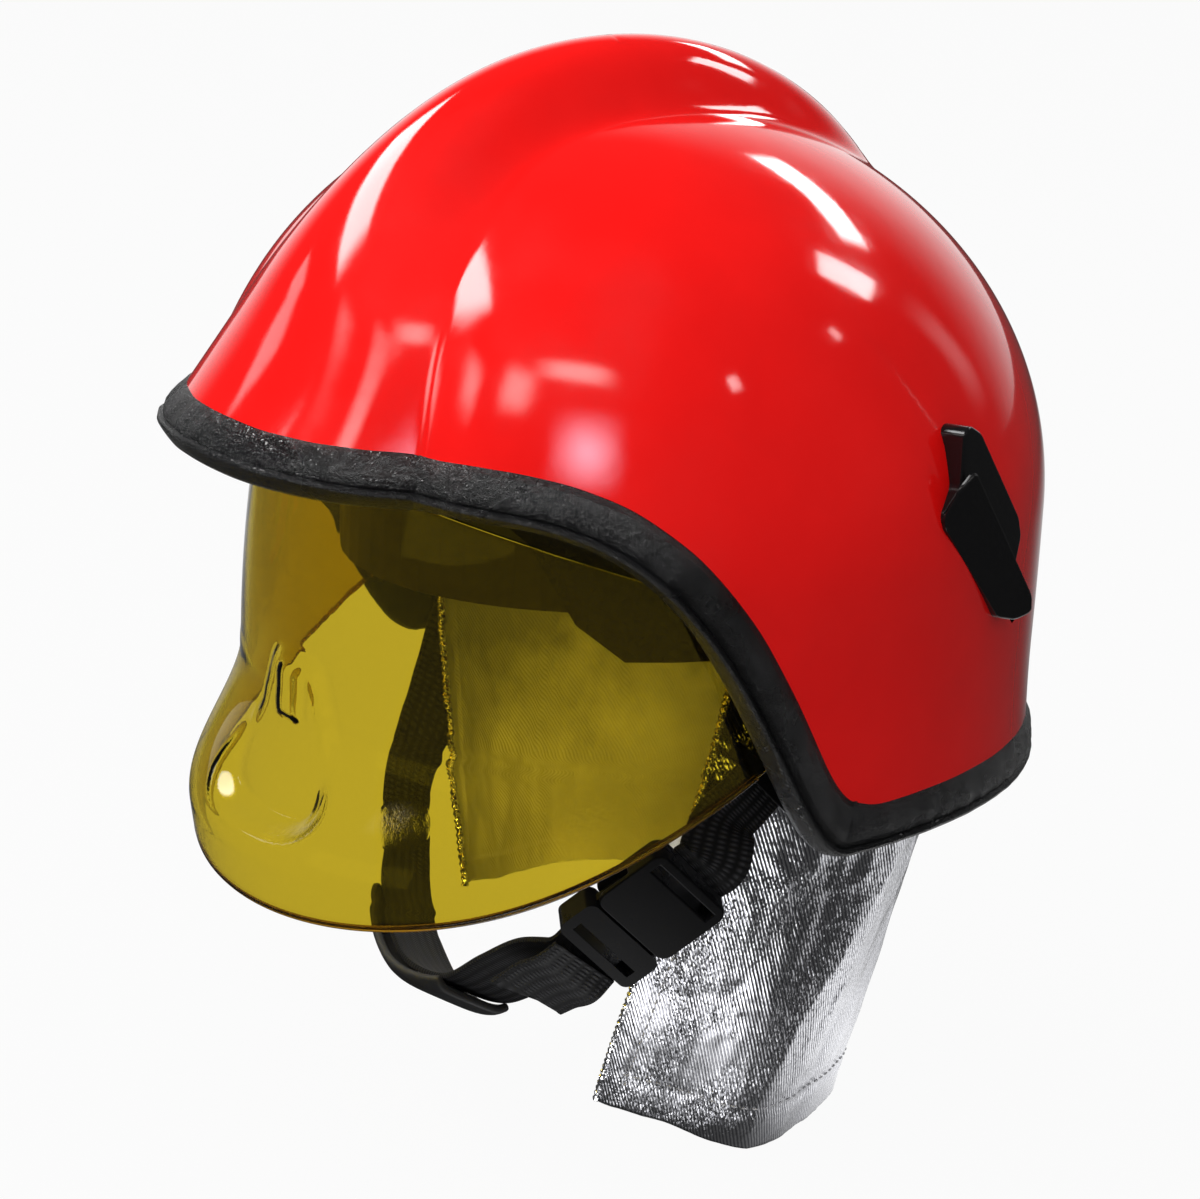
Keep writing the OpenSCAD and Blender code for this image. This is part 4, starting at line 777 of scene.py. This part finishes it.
def makeCurtain(s):
    bm = gridMesh(s["columns"], s["rows"], clothPoint, s["flat"], False)
    faceFrom(bm, Vector((0, (s["topY"] + s["lowY"]) / 2, -110)) * mm)
    area = sum(f.calc_area() for f in bm.faces)
    print("curtain area", round(area, 5))
    curtain = finishPiece("neckCurtain", bm, [silverCloth, innerCloth], "helmet",
                          ["neck_curtain"], 80)
    addSolidify(curtain, s["wall"], 0, 1, 0)
    bindings = []
    for side in (0, 1):
        edge = [clothPoint(side, k / 300) for k in range(301)]
        bindings.append(tube(f"curtainBinding{side + 1}", edge, s["binding"], bindingFoil, "helmet",
                             8, s["beads"]))
    bm = bmesh.new()
    inner = s["edgeAt"] + 0.004
    stitchRow(bm, [clothPoint(k / 900, 1 - s["hemAt"] + 0.012, 0.8) for k in range(20, 881)])
    for u in (inner, 1 - inner):
        stitchRow(bm, [clothPoint(u, k / 400, 0.8) for k in range(24, 396)])
    stitches = finishPiece("curtainStitches", bm, thread, "helmet")
    return curtain, bindings


curtain, bindings = makeCurtain(curtainSetup)
print("stage: curtain")


# lamp bracket: a plate with a raised, rounded lip along its front
bracketSetup = {"at": (122.6, 3.6), "slant": -38.6, "gap": 0.8, "seat": 151, "corner": 1.6,
                "slope": 0.72, "slopeFrom": -1, "slopeRun": 12,
                "outerEdge": [(-7, -32), (-11, -26), (-14.5, 21), (-12.5, 25)],
                "blocks": [  # plate, wall and lip: the rest of the outline, foot, top, rounding of the top edge
                    ([(-3, 27), (8, 39), (12, 38), (15, 31), (15, -9), (12.5, -15), (5, -19), (-1, -30)], -1, 5, 0.9),
                    ([(-7, 25), (-4, -31)], -0.6, 7.8, 0.3),
                    ([(-5, 30), (1, 31), (1, -28), (-2, -34)], 7.2, 9.4, 1.1)]}


def addPrism(bm, outline, low, high, corner, edge):
    # an upright block on the outline, its corners rounded, then its top edge
    fresh = bmesh.new()
    face = fresh.faces.new([fresh.verts.new((x * mm, y * mm, low * mm)) for x, y in outline])
    top = bmesh.ops.extrude_face_region(fresh, geom=[face])["geom"]
    bmesh.ops.translate(fresh, verts=pointsIn(top), vec=(0, 0, (high - low) * mm))
    faceOut(fresh)
    upright = [e for e in fresh.edges if abs(e.verts[0].co.z - e.verts[1].co.z) > 0.0001]
    bmesh.ops.bevel(fresh, geom=upright, offset=corner * mm, affect="EDGES", segments=3, profile=0.5, material=-1)
    rim = [e for e in fresh.edges if min(v.co.z for v in e.verts) > (high - 0.01) * mm and e.calc_face_angle(0) > 1]
    bmesh.ops.bevel(fresh, geom=rim, offset=edge * mm, affect="EDGES", segments=3, profile=0.5, material=-1)
    long = [e for e in fresh.edges if e.calc_length() > 0.006 and max(v.co.z for v in e.verts) < (low + 0.01) * mm]
    bmesh.ops.subdivide_edges(fresh, edges=long, cuts=7)
    spare = bpy.data.meshes.new("spare")
    fresh.to_mesh(spare)
    fresh.free()
    bm.from_mesh(spare)
    bpy.data.meshes.remove(spare)


def makeBracket(s):
    base, out = shellPoint(*s["at"]), shellNormal(*s["at"])
    upright = squareTo(Vector((0, 0, 1)), out)
    up = upright * cosine(s["slant"]) + upright.cross(out) * sine(s["slant"])
    side = up.cross(out)
    bm = bmesh.new()
    for innerEdge, low, high, edge in s["blocks"]:
        addPrism(bm, s["outerEdge"] + innerEdge, low, high, s["corner"], edge)
    for vert in bm.verts:  # the front slopes down to the shell, and the foot follows it
        x, y, z = vert.co / mm
        if z > 0.3:
            z -= z * s["slope"] * min(max((s["slopeFrom"] - x) / s["slopeRun"], 0), 1)
        if z < -0.3:
            z = s["gap"] - (x * x + y * y) / (2 * s["seat"])
        vert.co = (base + side * x + up * y + out * z) * mm
    faceOut(bm)
    evenShading(finishPiece("lampBracket", bm, glossBlack, "helmet", ["lamp_bracket"], 50))


def evenShading(piece):
    # flat faces keep their own normals beside rounded edges
    even = piece.modifiers.new("even", "WEIGHTED_NORMAL")
    even.keep_sharp = True
    even.weight = 60


def roundedCopy(nodeName, width, body, slot, sharp=30):
    # the CAD part again, with its edges rounded so that they catch the light
    first, *rest = nodeName.split("_")
    name = first + "".join(word.title() for word in rest)
    bm = bmesh.new()
    bm.from_mesh(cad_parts[nodeName].data)
    bmesh.ops.remove_doubles(bm, verts=bm.verts, dist=0.00002)
    bmesh.ops.dissolve_limit(bm, angle_limit=math.radians(1), verts=bm.verts, edges=bm.edges)
    edges = [e for e in bm.edges if e.is_manifold and e.calc_face_angle(0) > math.radians(sharp)]
    bmesh.ops.bevel(bm, geom=edges, offset=width * mm, affect="EDGES", segments=2, profile=0.5, material=-1,
                    clamp_overlap=True)
    material = nodeMaterials.get(nodeName, steel)
    evenShading(finishPiece(name, bm, material, body, [nodeName], 50))


makeBracket(bracketSetup)
roundedPieces = [("buckle_socket", 0.8, "helmet", "buckle_plastic"),
                 ("buckle_tongue", 0.8, "chin_side", "buckle_plastic"),
                 ("strap_keeper", 0.5, "keeper", "buckle_plastic"),
                 ("adjuster_cover", 0.7, "helmet", "adjuster_plastic"),
                 ("adjuster_knob", 0.4, "size_knob", "adjuster_plastic"),
                 ("headband_clips", 0.4, "helmet", "harness_plastic"),
                 ("curtain_studs", 0.5, "helmet", "fastener_steel"),
                 ("visor_arm_left", 0.4, "visor", "arm_plastic"),
                 ("visor_arm_right", 0.4, "visor", "arm_plastic"),
                 ("strap_anchor_left", 0.3, "helmet", "anchor_steel"),
                 ("strap_anchor_right", 0.3, "helmet", "anchor_steel")]
for rounded in roundedPieces:
    roundedCopy(*rounded)
print("stage: bracket and fittings")


# straps
strapSetup = {"width": 24, "thickness": 1.8, "sideWidth": 23.4, "sideThickness": 1.4, "barRadius": 2,
              "anchor": (112.5, -16), "plate": 2.8,
              "buckle": (81, -35, -106.5), "pull": (-0.51, -0.54, -0.67), "face": (0.8, -0.45, -0.25),
              "slideFrom": (99.9, 12, -48), "slideTo": (95.5, -12.2, -73.4), "socket": 26, "tongue": 14}
wallPoint = shellPoint(*strapSetup["anchor"], shellSetup["wall"] + 1.2)
wallOut = shellNormal(*strapSetup["anchor"])
loopRadius = strapSetup["barRadius"] + 0.3 + strapSetup["thickness"]
anchor = wallPoint - wallOut * (strapSetup["plate"] + loopRadius + 2.4)
hinge = Vector((-anchor.x, anchor.y, anchor.z))
buckle = Vector(strapSetup["buckle"])
reach = (buckle - hinge).normalized()
pull = squareTo(Vector(strapSetup["pull"]), reach)
hingeAxis = reach.cross(pull)
buckleFace = squareTo(Vector(strapSetup["face"]), pull)
leftAxis = Vector((-hingeAxis.x, hingeAxis.y, hingeAxis.z))
loopOut = squareTo(wallOut, leftAxis)
loopSide = anchor - loopOut * (loopRadius - strapSetup["thickness"] / 2)
socketTop = buckle - pull * (strapSetup["socket"] + 1.3)
tongueFoot = buckle + pull * (strapSetup["tongue"] + 1.1)
slideFrom, slideTo = Vector(strapSetup["slideFrom"]), Vector(strapSetup["slideTo"])
sidePath = [loopSide] + [slideFrom.lerp(slideTo, k / 4) for k in range(5)] + [socketTop - pull * 6, socketTop]
sideOut = [loopOut] + [Vector(v) for v in ((1, 0.1, -0.1), (1, 0, -0.1), (1, -0.1, -0.15), (1, -0.2, -0.2),
                                           (1, -0.3, -0.2))] + [buckleFace, buckleFace]
chinPath = [Vector(v) for v in (
    (-loopSide.x, loopSide.y, loopSide.z), (-98, 24, -60), (-89, 5.5, -90), (-77, -13, -116), (-62, -22, -137),
    (-42, -34, -145), (-20, -43, -150.5), (2, -49.5, -150.5), (24, -50.5, -146), (41, -49, -135),
    (56, -47.5, -125.5), tongueFoot + pull * 6, tongueFoot)]
chinOut = [Vector((-loopOut.x, loopOut.y, loopOut.z))] + [Vector(v) for v in (
    (-1, 0.1, -0.1), (-1, -0.1, -0.15), (-1, -0.35, -0.2), (-0.8, -0.5, -0.5), (-0.5, -0.5, -0.7),
    (-0.3, -0.5, -0.8), (0, -0.5, -0.85), (0.3, -0.5, -0.8), (0.4, -0.6, -0.7),
    (0.6, -0.6, -0.5))] + [buckleFace, buckleFace]


def strapFrames(path, outward, count):
    centres = [curvePoint(path, k / count) for k in range(count + 1)]
    frames = []
    for k, centre in enumerate(centres):
        along = (centres[min(k + 1, count)] - centres[max(k - 1, 0)]).normalized()
        out = squareTo(curvePoint(outward, k / count), along)
        frames.append((centre, along, out, along.cross(out)))
    return frames


def makeStrap(name, frames, width, thickness, body, replaced, taper=0.0):
    # flat webbing with round, slightly thicker selvedges
    w, t = width / 2, thickness / 2
    section = [(-w, 0), (-w + 0.25, 0.95 * t), (-w + 1.2, 1.0 * t), (-w + 2.0, 0.78 * t), (0, 0.84 * t),
               (w - 2.0, 0.78 * t), (w - 1.2, 1.0 * t), (w - 0.25, 0.95 * t)]
    section = section + [(-x, -y) for x, y in section]
    count, n = len(frames) - 1, len(section)
    length = sum((frames[k + 1][0] - frames[k][0]).length for k in range(count))

    def place(u, v):
        k = round(v * count)
        centre, along, out, across = frames[k]
        x, y = section[round(u * n) % n]
        pinch = taper * x / w * (k == count)
        return centre + across * x + out * y + along * pinch

    bm = gridMesh(n, count, place, (2 * width, length))
    closeEnds(bm)
    finishPiece(name, bm, webbing, body, replaced, 50)


def webbingLoop(name, centre, axis, body):
    bm = bmesh.new()
    bmesh.ops.create_circle(bm, segments=40, radius=loopRadius * mm)
    ring = bm.edges[:]
    made = bmesh.ops.extrude_edge_only(bm, edges=ring)["geom"]
    bmesh.ops.translate(bm, verts=pointsIn(made), vec=(0, 0, strapSetup["width"] * mm))
    bmesh.ops.translate(bm, verts=bm.verts, vec=(0, 0, -strapSetup["width"] / 2 * mm))
    faceOut(bm)
    side = axis.orthogonal().normalized()
    turn = Matrix((side, axis.cross(side), axis)).transposed().to_4x4()
    bmesh.ops.transform(bm, matrix=Matrix.Translation(centre * mm) @ turn, verts=bm.verts)
    addSolidify(finishPiece(name, bm, webbing, body), strapSetup["thickness"], -1)


# the side strap is a little slimmer, so that the keeper slides over it
makeStrap("sideStrap", strapFrames(sidePath, sideOut, 60), strapSetup["sideWidth"], strapSetup["sideThickness"],
          "helmet", ["side_strap"])
webbingLoop("sideStrapLoop", anchor, leftAxis, "helmet")
makeStrap("chinStrap", strapFrames(chinPath, chinOut, 180), strapSetup["width"], strapSetup["thickness"],
          "chin_side", ["chin_strap"])
webbingLoop("chinStrapLoop", hinge, hingeAxis, "chin_side")


# the strap's free end lies on the strap beside the buckle and lifts off it, a little more at each point
tailSetup = {"from": 0.964, "step": 0.05, "points": 4, "lift": 1.2, "sag": 1.5, "cut": 4}


def makeTail(s):
    places = [s["from"] - s["step"] * k for k in range(s["points"])]
    outs, path = [], []
    for k, u in enumerate(places):
        along = (curvePoint(chinPath, u + 0.005) - curvePoint(chinPath, u - 0.02)).normalized()
        out = squareTo(curvePoint(chinOut, u), along)
        outs.append(out)
        path.append(curvePoint(chinPath, u) + out * (strapSetup["thickness"] + s["lift"] * (1 + k))
                    - Vector((0, 0, s["sag"] * k)))
    makeStrap("strapTail", strapFrames(path, outs, 30), strapSetup["width"], strapSetup["thickness"], "chin_side",
              ["strap_tail"], s["cut"])


makeTail(tailSetup)


# the cup lies along part of the chin strap, whose path is taken as so many parts
cupSetup = {"parts": 48, "from": 20, "rows": 12, "width": 34, "length": 88, "depth": 2.7, "wall": 2.8, "across": 17,
            "along": 60, "slotPitch": 1.2, "slotHalf": 2, "inlayWidth": 15, "inlayLength": 50, "inlay": 0.5}


def cupPoint(u, v, depth, width, s=cupSetup):
    k = s["from"] / s["parts"] + s["rows"] * v / s["parts"]
    centre = curvePoint(chinPath, k)
    along = (curvePoint(chinPath, k + 1 / s["parts"]) - curvePoint(chinPath, k - 1 / s["parts"])).normalized()
    out = squareTo(curvePoint(chinOut, k), along)
    across, end = 2 * u - 1, (2 * v - 1) ** 4
    lip = 2 * smooth((abs(across) - 0.72) / 0.28)
    return (centre + along.cross(out) * across * width / 2 * (1 - 0.2 * end)
            + out * (1.9 - lip + depth * (1 - 0.3 * across ** 4 - 0.3 * end)))


def makeChinCup(s):
    size = (s["width"], s["length"])
    bm = gridMesh(s["across"], s["along"], lambda u, v: cupPoint(u, v, s["depth"], s["width"]), size, False)
    bm.faces.ensure_lookup_table()
    layer = bm.loops.layers.uv.active
    slots = []
    for face in bm.faces:
        middle = sum((loop[layer].uv for loop in face.loops), Vector((0, 0))) / len(face.loops) / mm
        column = abs(middle.x / s["width"] * s["across"] - s["across"] / 2)
        row = middle.y / s["length"] * s["rows"] - s["rows"] / 2
        nearest = round(row / s["slotPitch"])
        if column < s["slotHalf"] + 0.6 and abs(nearest) <= 2 and abs(row - nearest * s["slotPitch"]) < 0.11:
            slots.append(face)
    bmesh.ops.delete(bm, geom=slots, context="FACES")
    cup = finishPiece("chinCup", bm, rubber, "chin_side", ["chin_cup"], 60)
    addSolidify(cup, s["wall"], 0)
    soft = cup.modifiers.new("soft", "SUBSURF")
    soft.levels = soft.render_levels = 1
    # the pale pad that shows through the slots
    size = (s["inlayWidth"], s["inlayLength"])
    bm = gridMesh(6, 40, lambda u, v: cupPoint(u, mix(0.2, 0.8, v), 0, s["inlayWidth"]), size, False)
    pad = finishPiece("chinCupPad", bm, palePlastic, "chin_side")
    addSolidify(pad, s["inlay"], 0)


makeChinCup(cupSetup)
print("stage: straps")


# soft pieces of the head harness
harnessSetup = {"headHalfWidth": 75, "headHalfLength": 94, "headY": 18, "cradleUp": 83, "cradleWidth": 16,
                "cradleThickness": 1.2, "bandHeight": 28, "bandThickness": 2.2, "sweatTurn": 78,
                "sweatFlat": (230, 25), "sweatEdge": 0.9, "sweatCrown": 2.1, "sweatWall": 0.75}


def cradlePoint(azimuth, climb, layer, s=harnessSetup):
    lift = layer * (s["cradleThickness"] + 0.2) * smooth(sine(climb) * 2 - 0.9)
    low = min(climb, 180 - climb)
    inset = mix(s["bandThickness"] + s["cradleThickness"] + 1.1, -s["cradleThickness"] / 2 - 0.1,
                smooth((low - 14) / 18))
    return Vector(((s["headHalfWidth"] + inset + lift) * sine(azimuth) * cosine(climb),
                   s["headY"] - (s["headHalfLength"] + inset + lift) * cosine(azimuth) * cosine(climb),
                   (s["cradleUp"] + lift) * sine(climb)))


def makeCradleStrap(layer, s):
    azimuth = 45 + 45 * layer
    points = [cradlePoint(azimuth, 7 + 166 * k / 20, layer) for k in range(21)]
    outs = [Vector((p.x / s["headHalfWidth"] ** 2, (p.y - s["headY"]) / s["headHalfLength"] ** 2,
                    p.z / s["cradleUp"] ** 2)).normalized() for p in points]
    makeStrap(f"cradleStrap{layer + 1}", strapFrames(points, outs, 90), s["cradleWidth"], s["cradleThickness"],
              "helmet", ["cradle_webbing"] if layer == 0 else [])


for layer in range(3):
    makeCradleStrap(layer, harnessSetup)


def bandPoint(azimuth, offset, z, s=harnessSetup):
    return Vector(((s["headHalfWidth"] + offset) * sine(azimuth),
                   s["headY"] - (s["headHalfLength"] + offset) * cosine(azimuth), z))


def makeSweatband(s):
    # padded leather strip, crowned towards the head
    half = s["bandHeight"] / 2 - 1.5

    def place(u, v):
        across = 2 * v - 1
        crown = s["sweatEdge"] + s["sweatCrown"] * max(1 - across ** 4, 0) ** 0.5
        return bandPoint(mix(-s["sweatTurn"], s["sweatTurn"], u), -crown, across * half)

    bm = gridMesh(220, 26, place, s["sweatFlat"])
    faceFrom(bm, Vector((0, s["headY"], 0)) * mm, -1)
    band = finishPiece("sweatStrip", bm, sweatLeather, "helmet", ["sweatband"])
    addSolidify(band, s["sweatWall"], -1)


makeSweatband(harnessSetup)


# a cushion on the adjuster's front, drawn in at its corners and crowned towards the head
napeSetup = {"y": harnessSetup["headY"] + harnessSetup["headHalfLength"] + harnessSetup["bandThickness"] - 3.05,
             "z": -4, "width": 36, "height": 32, "depth": 7, "edge": 0.6, "drawn": 0.07, "seat": 0.55}


def makeNapePad(s):
    def place(u, v):
        x, y = 2 * u - 1, 2 * v - 1
        drawn = 1 - s["drawn"] * (x * x + y * y)
        crown = (max(1 - abs(x) ** 4, 0) * max(1 - abs(y) ** 4, 0)) ** 0.5
        return Vector((x * s["width"] / 2 * drawn, s["y"] - s["edge"] - (s["depth"] - s["edge"]) * crown,
                       s["z"] + y * s["height"] / 2 * drawn))

    bm = gridMesh(40, 40, place)
    extruded = bmesh.ops.extrude_edge_only(bm, edges=[e for e in bm.edges if e.is_boundary])["geom"]
    bmesh.ops.translate(bm, verts=pointsIn(extruded), vec=(0, s["seat"] * mm, 0))
    closeEnds(bm)
    finishPiece("napePad", bm, knit, "helmet", ["nape_pad"], 50)


makeNapePad(napeSetup)


# a round pad between the cradle's crossing and the liner, its half section from the middle outwards
crownSetup = {"ceiling": 92, "play": 0.7, "steps": 48, "foot": harnessSetup["cradleUp"] + 2.8 + 0.6 + 0.8,
              "profile": [(0, 0), (15, -0.9), (30, -3.9), (32, -3.7), (31, -3), (16, 0.7)]}


def makeCrownPad(s):
    bm = bmesh.new()
    top = s["ceiling"] - s["foot"] - s["play"]
    points = [bm.verts.new((x * mm, 0, z * mm)) for x, z in s["profile"] + [(0, top)]]
    for a, b in zip(points, points[1:]):
        bm.edges.new((a, b))
    bmesh.ops.spin(bm, geom=bm.verts[:] + bm.edges[:], axis=(0, 0, 1), cent=(0, 0, 0), steps=s["steps"],
                   angle=2 * math.pi, use_merge=True)
    bmesh.ops.remove_doubles(bm, verts=bm.verts, dist=0.00001)
    faceOut(bm)
    bmesh.ops.translate(bm, verts=bm.verts, vec=Vector((0, harnessSetup["headY"], s["foot"])) * mm)
    finishPiece("crownPad", bm, knit, "helmet", ["crown_pad"])


makeCrownPad(crownSetup)
print("stage: harness")


# floor, backdrop and light
stageSetup = {"floor": -202.2, "paper": (0.26, 0.26, 0.26), "paperGlow": 0.95, "diffuseSky": 0.36, "away": 2000,
              "skySeen": {"behind": (235, -8), "turn": (0.55, 1.0), "levels": (0.05, 0.95)},
              "floorSeen": 0.05,  # the paper's brightness in gloss, and brighter patches on it: place, reach, level
              "floorGlows": [((112, -62, -202), 92, 3.4), ((52, 100, -202), 85, 1.1), ((57, 190, -202), 125, 1.0),
                             ((58, 300, -202), 140, 0.9), ((-640, 450, -202), 560, 0.95),
                             ((-230, 130, -202), 210, 0.7)],
              "lamps": [  # name, azimuth, elevation, size, brightness, colour, faded edge (0 for unseen)
                  ("leftStrip", -50, 52, (1900, 700), 10, (1, 1, 1), 0.14),
                  ("leftLow", -50, 23, (500, 300), 2, (1, 1, 1), 0.25),
                  ("frontWindow", -4, 34, (520, 560), 3.4, (1, 0.93, 0.9), 0.45),
                  ("archWindow", 22, 40, (520, 520), 4, (1, 0.93, 0.9), 0.4),
                  ("archTop", 44, 48, (1000, 260), 5, (1, 0.93, 0.9), 0.4),
                  ("glowLamp", 51, 27, (900, 900), 7, (0.86, 0.8, 1), 0.5),
                  ("backStrip", -162, 36, (880, 200), 9, (1, 1, 1), 0.12),
                  ("backWindow", 171, 38, (260, 420), 8, (1, 1, 1), 0.12),
                  ("spotWindow", 108, 40, (150, 190), 6, (1, 0.93, 0.93), 0.3),
                  ("spotSmall", 150, 36, (90, 130), 5, (1, 0.93, 0.93), 0.3),
                  ("rearPanel", 174, 16, (420, 900), 0.5, (1, 1, 1), 0.45),
                  ("overhead", 35, 62, (1900, 1900), 2.2, (1, 1, 1), 0),
                  ("faceFill", 0, 0, (1300, 1000), 0.9, (1, 1, 1), 0),
                  ("liningFill", 48, -2, (1100, 900), 32, (1, 1, 1), 0),
                  ("bindingFill", 40, 6, (1500, 900), 26, (1, 1, 0.94), 0.2),
                  ("trimFill", -52, 58, (1700, 1200), 5, (1, 0.98, 0.96), 0.4),
                  ("sideFill", 75, 8, (1200, 1200), 0.45, (1, 1, 1), 0)]}


def towardBack(tree, s):
    # dim on the side the lamps stand on, pale behind the helmet, from the stage's own coordinates
    place = addNode(tree, "TexCoord").outputs["Object"]
    facing = vectorOf(tree, "DOT_PRODUCT", vectorOf(tree, "NORMALIZE", place), direction(*s["behind"])[:], "Value")
    return spread(tree, facing, *s["turn"], *s["levels"], "SMOOTHSTEP")


def mixByRay(tree, lighting, seen, plain, share, output):
    # one shader lights the scene, one is seen in gloss, and the camera and the glass see the plain one
    rays = addNode(tree, "LightPath").outputs
    clear = calculated(tree, "MAXIMUM", rays["Is Camera Ray"], rays["Is Transmission Ray"])
    first = addNode(tree, "MixShader", {0: rays["Is Glossy Ray"], 1: lighting, 2: seen}).outputs[0]
    last = addNode(tree, "MixShader", {0: calculated(tree, "MULTIPLY", clear, share), 1: first, 2: plain})
    tree.links.new(last.outputs[0], tree.nodes[output].inputs[0])


def makeFloor(s):
    bm = bmesh.new()
    bmesh.ops.create_grid(bm, x_segments=1, y_segments=1, size=6)
    bmesh.ops.translate(bm, verts=bm.verts, vec=(0, 0, s["floor"] * mm))
    mesh = bpy.data.meshes.new("floor")
    bm.to_mesh(mesh)
    bm.free()
    paper = newMaterial("floorPaper", s["paper"], 0.9, Specular_IOR_Level=0)
    tree = paper.node_tree
    shader = tree.nodes["Principled BSDF"]
    place = addNode(tree, "TexCoord").outputs["Object"]
    level = s["floorSeen"]
    for at, reach, brightness in s["floorGlows"]:
        away = vectorOf(tree, "DISTANCE", place, tuple(c * mm for c in at), "Value")
        level = calculated(tree, "ADD", level, spread(tree, away, reach * mm, 0, 0, brightness, "SMOOTHSTEP"))
    seen = addNode(tree, "Emission", {"Strength": level}).outputs[0]
    plain = addNode(tree, "Emission").outputs[0]
    mixByRay(tree, shader.outputs[0], seen, plain, s["paperGlow"], "Material Output")
    mesh.materials.append(paper)
    addObject("floor", mesh)


def makeSky(s):
    world = bpy.data.worlds.new("studio")
    bpy.context.scene.world = world
    world.use_nodes = True
    tree = world.node_tree
    soft = tree.nodes["Background"]
    soft.inputs[0].default_value = (1, 1, 1, 1)
    soft.inputs[1].default_value = s["diffuseSky"]
    white = addNode(tree, "Background", {0: (1, 1, 1, 1), 1: 1.0}).outputs[0]
    seen = addNode(tree, "Background", {0: (1, 1, 1, 1), 1: towardBack(tree, s["skySeen"])}).outputs[0]
    mixByRay(tree, soft.outputs[0], seen, white, 1, "World Output")


lampTargets = {"liningFill": [curtain], "bindingFill": bindings, "trimFill": [edgeTrim], "glowLamp": [shell]}


def makeLamp(s, name, azimuth, elevation, size, brightness, color, fade):
    light = bpy.data.lights.new(name, "AREA")
    light.shape = "RECTANGLE"
    light.size, light.size_y = size[0] * mm, size[1] * mm
    light.energy = brightness * math.pi * size[0] * size[1] * mm * mm
    light.color = color
    if fade:  # the lit panes fade towards their edges
        light.use_nodes = True
        tree = light.node_tree
        pane = addNode(tree, "NewGeometry").outputs["Parametric"]
        offCentre = vectorOf(tree, "ABSOLUTE", vectorOf(tree, "SUBTRACT", pane, (0.5, 0.5, 0)))
        apart = addNode(tree, "SeparateXYZ", {0: offCentre}).outputs
        fades = [spread(tree, apart[k], 0.5, 0.5 - fade, kind="SMOOTHSTEP") for k in range(2)]
        tree.links.new(calculated(tree, "MULTIPLY", *fades), tree.nodes["Emission"].inputs["Strength"])
    holder = addObject(name, light)
    holder.visible_glossy = fade > 0
    if name in lampTargets:  # lights these pieces only
        targets = bpy.data.collections.new(name + "Targets")
        for piece in lampTargets[name]:
            targets.objects.link(piece)
        holder.light_linking.receiver_collection = targets
    place = direction(azimuth, elevation) * s["away"] * mm
    holder.matrix_world = Matrix.Translation(place) @ place.to_track_quat("Z", "Y").to_matrix().to_4x4()


makeFloor(stageSetup)
makeSky(stageSetup)
for lamp in stageSetup["lamps"]:
    makeLamp(stageSetup, *lamp)
bpy.context.scene.view_settings.view_transform = "Standard"
print("stage: light")
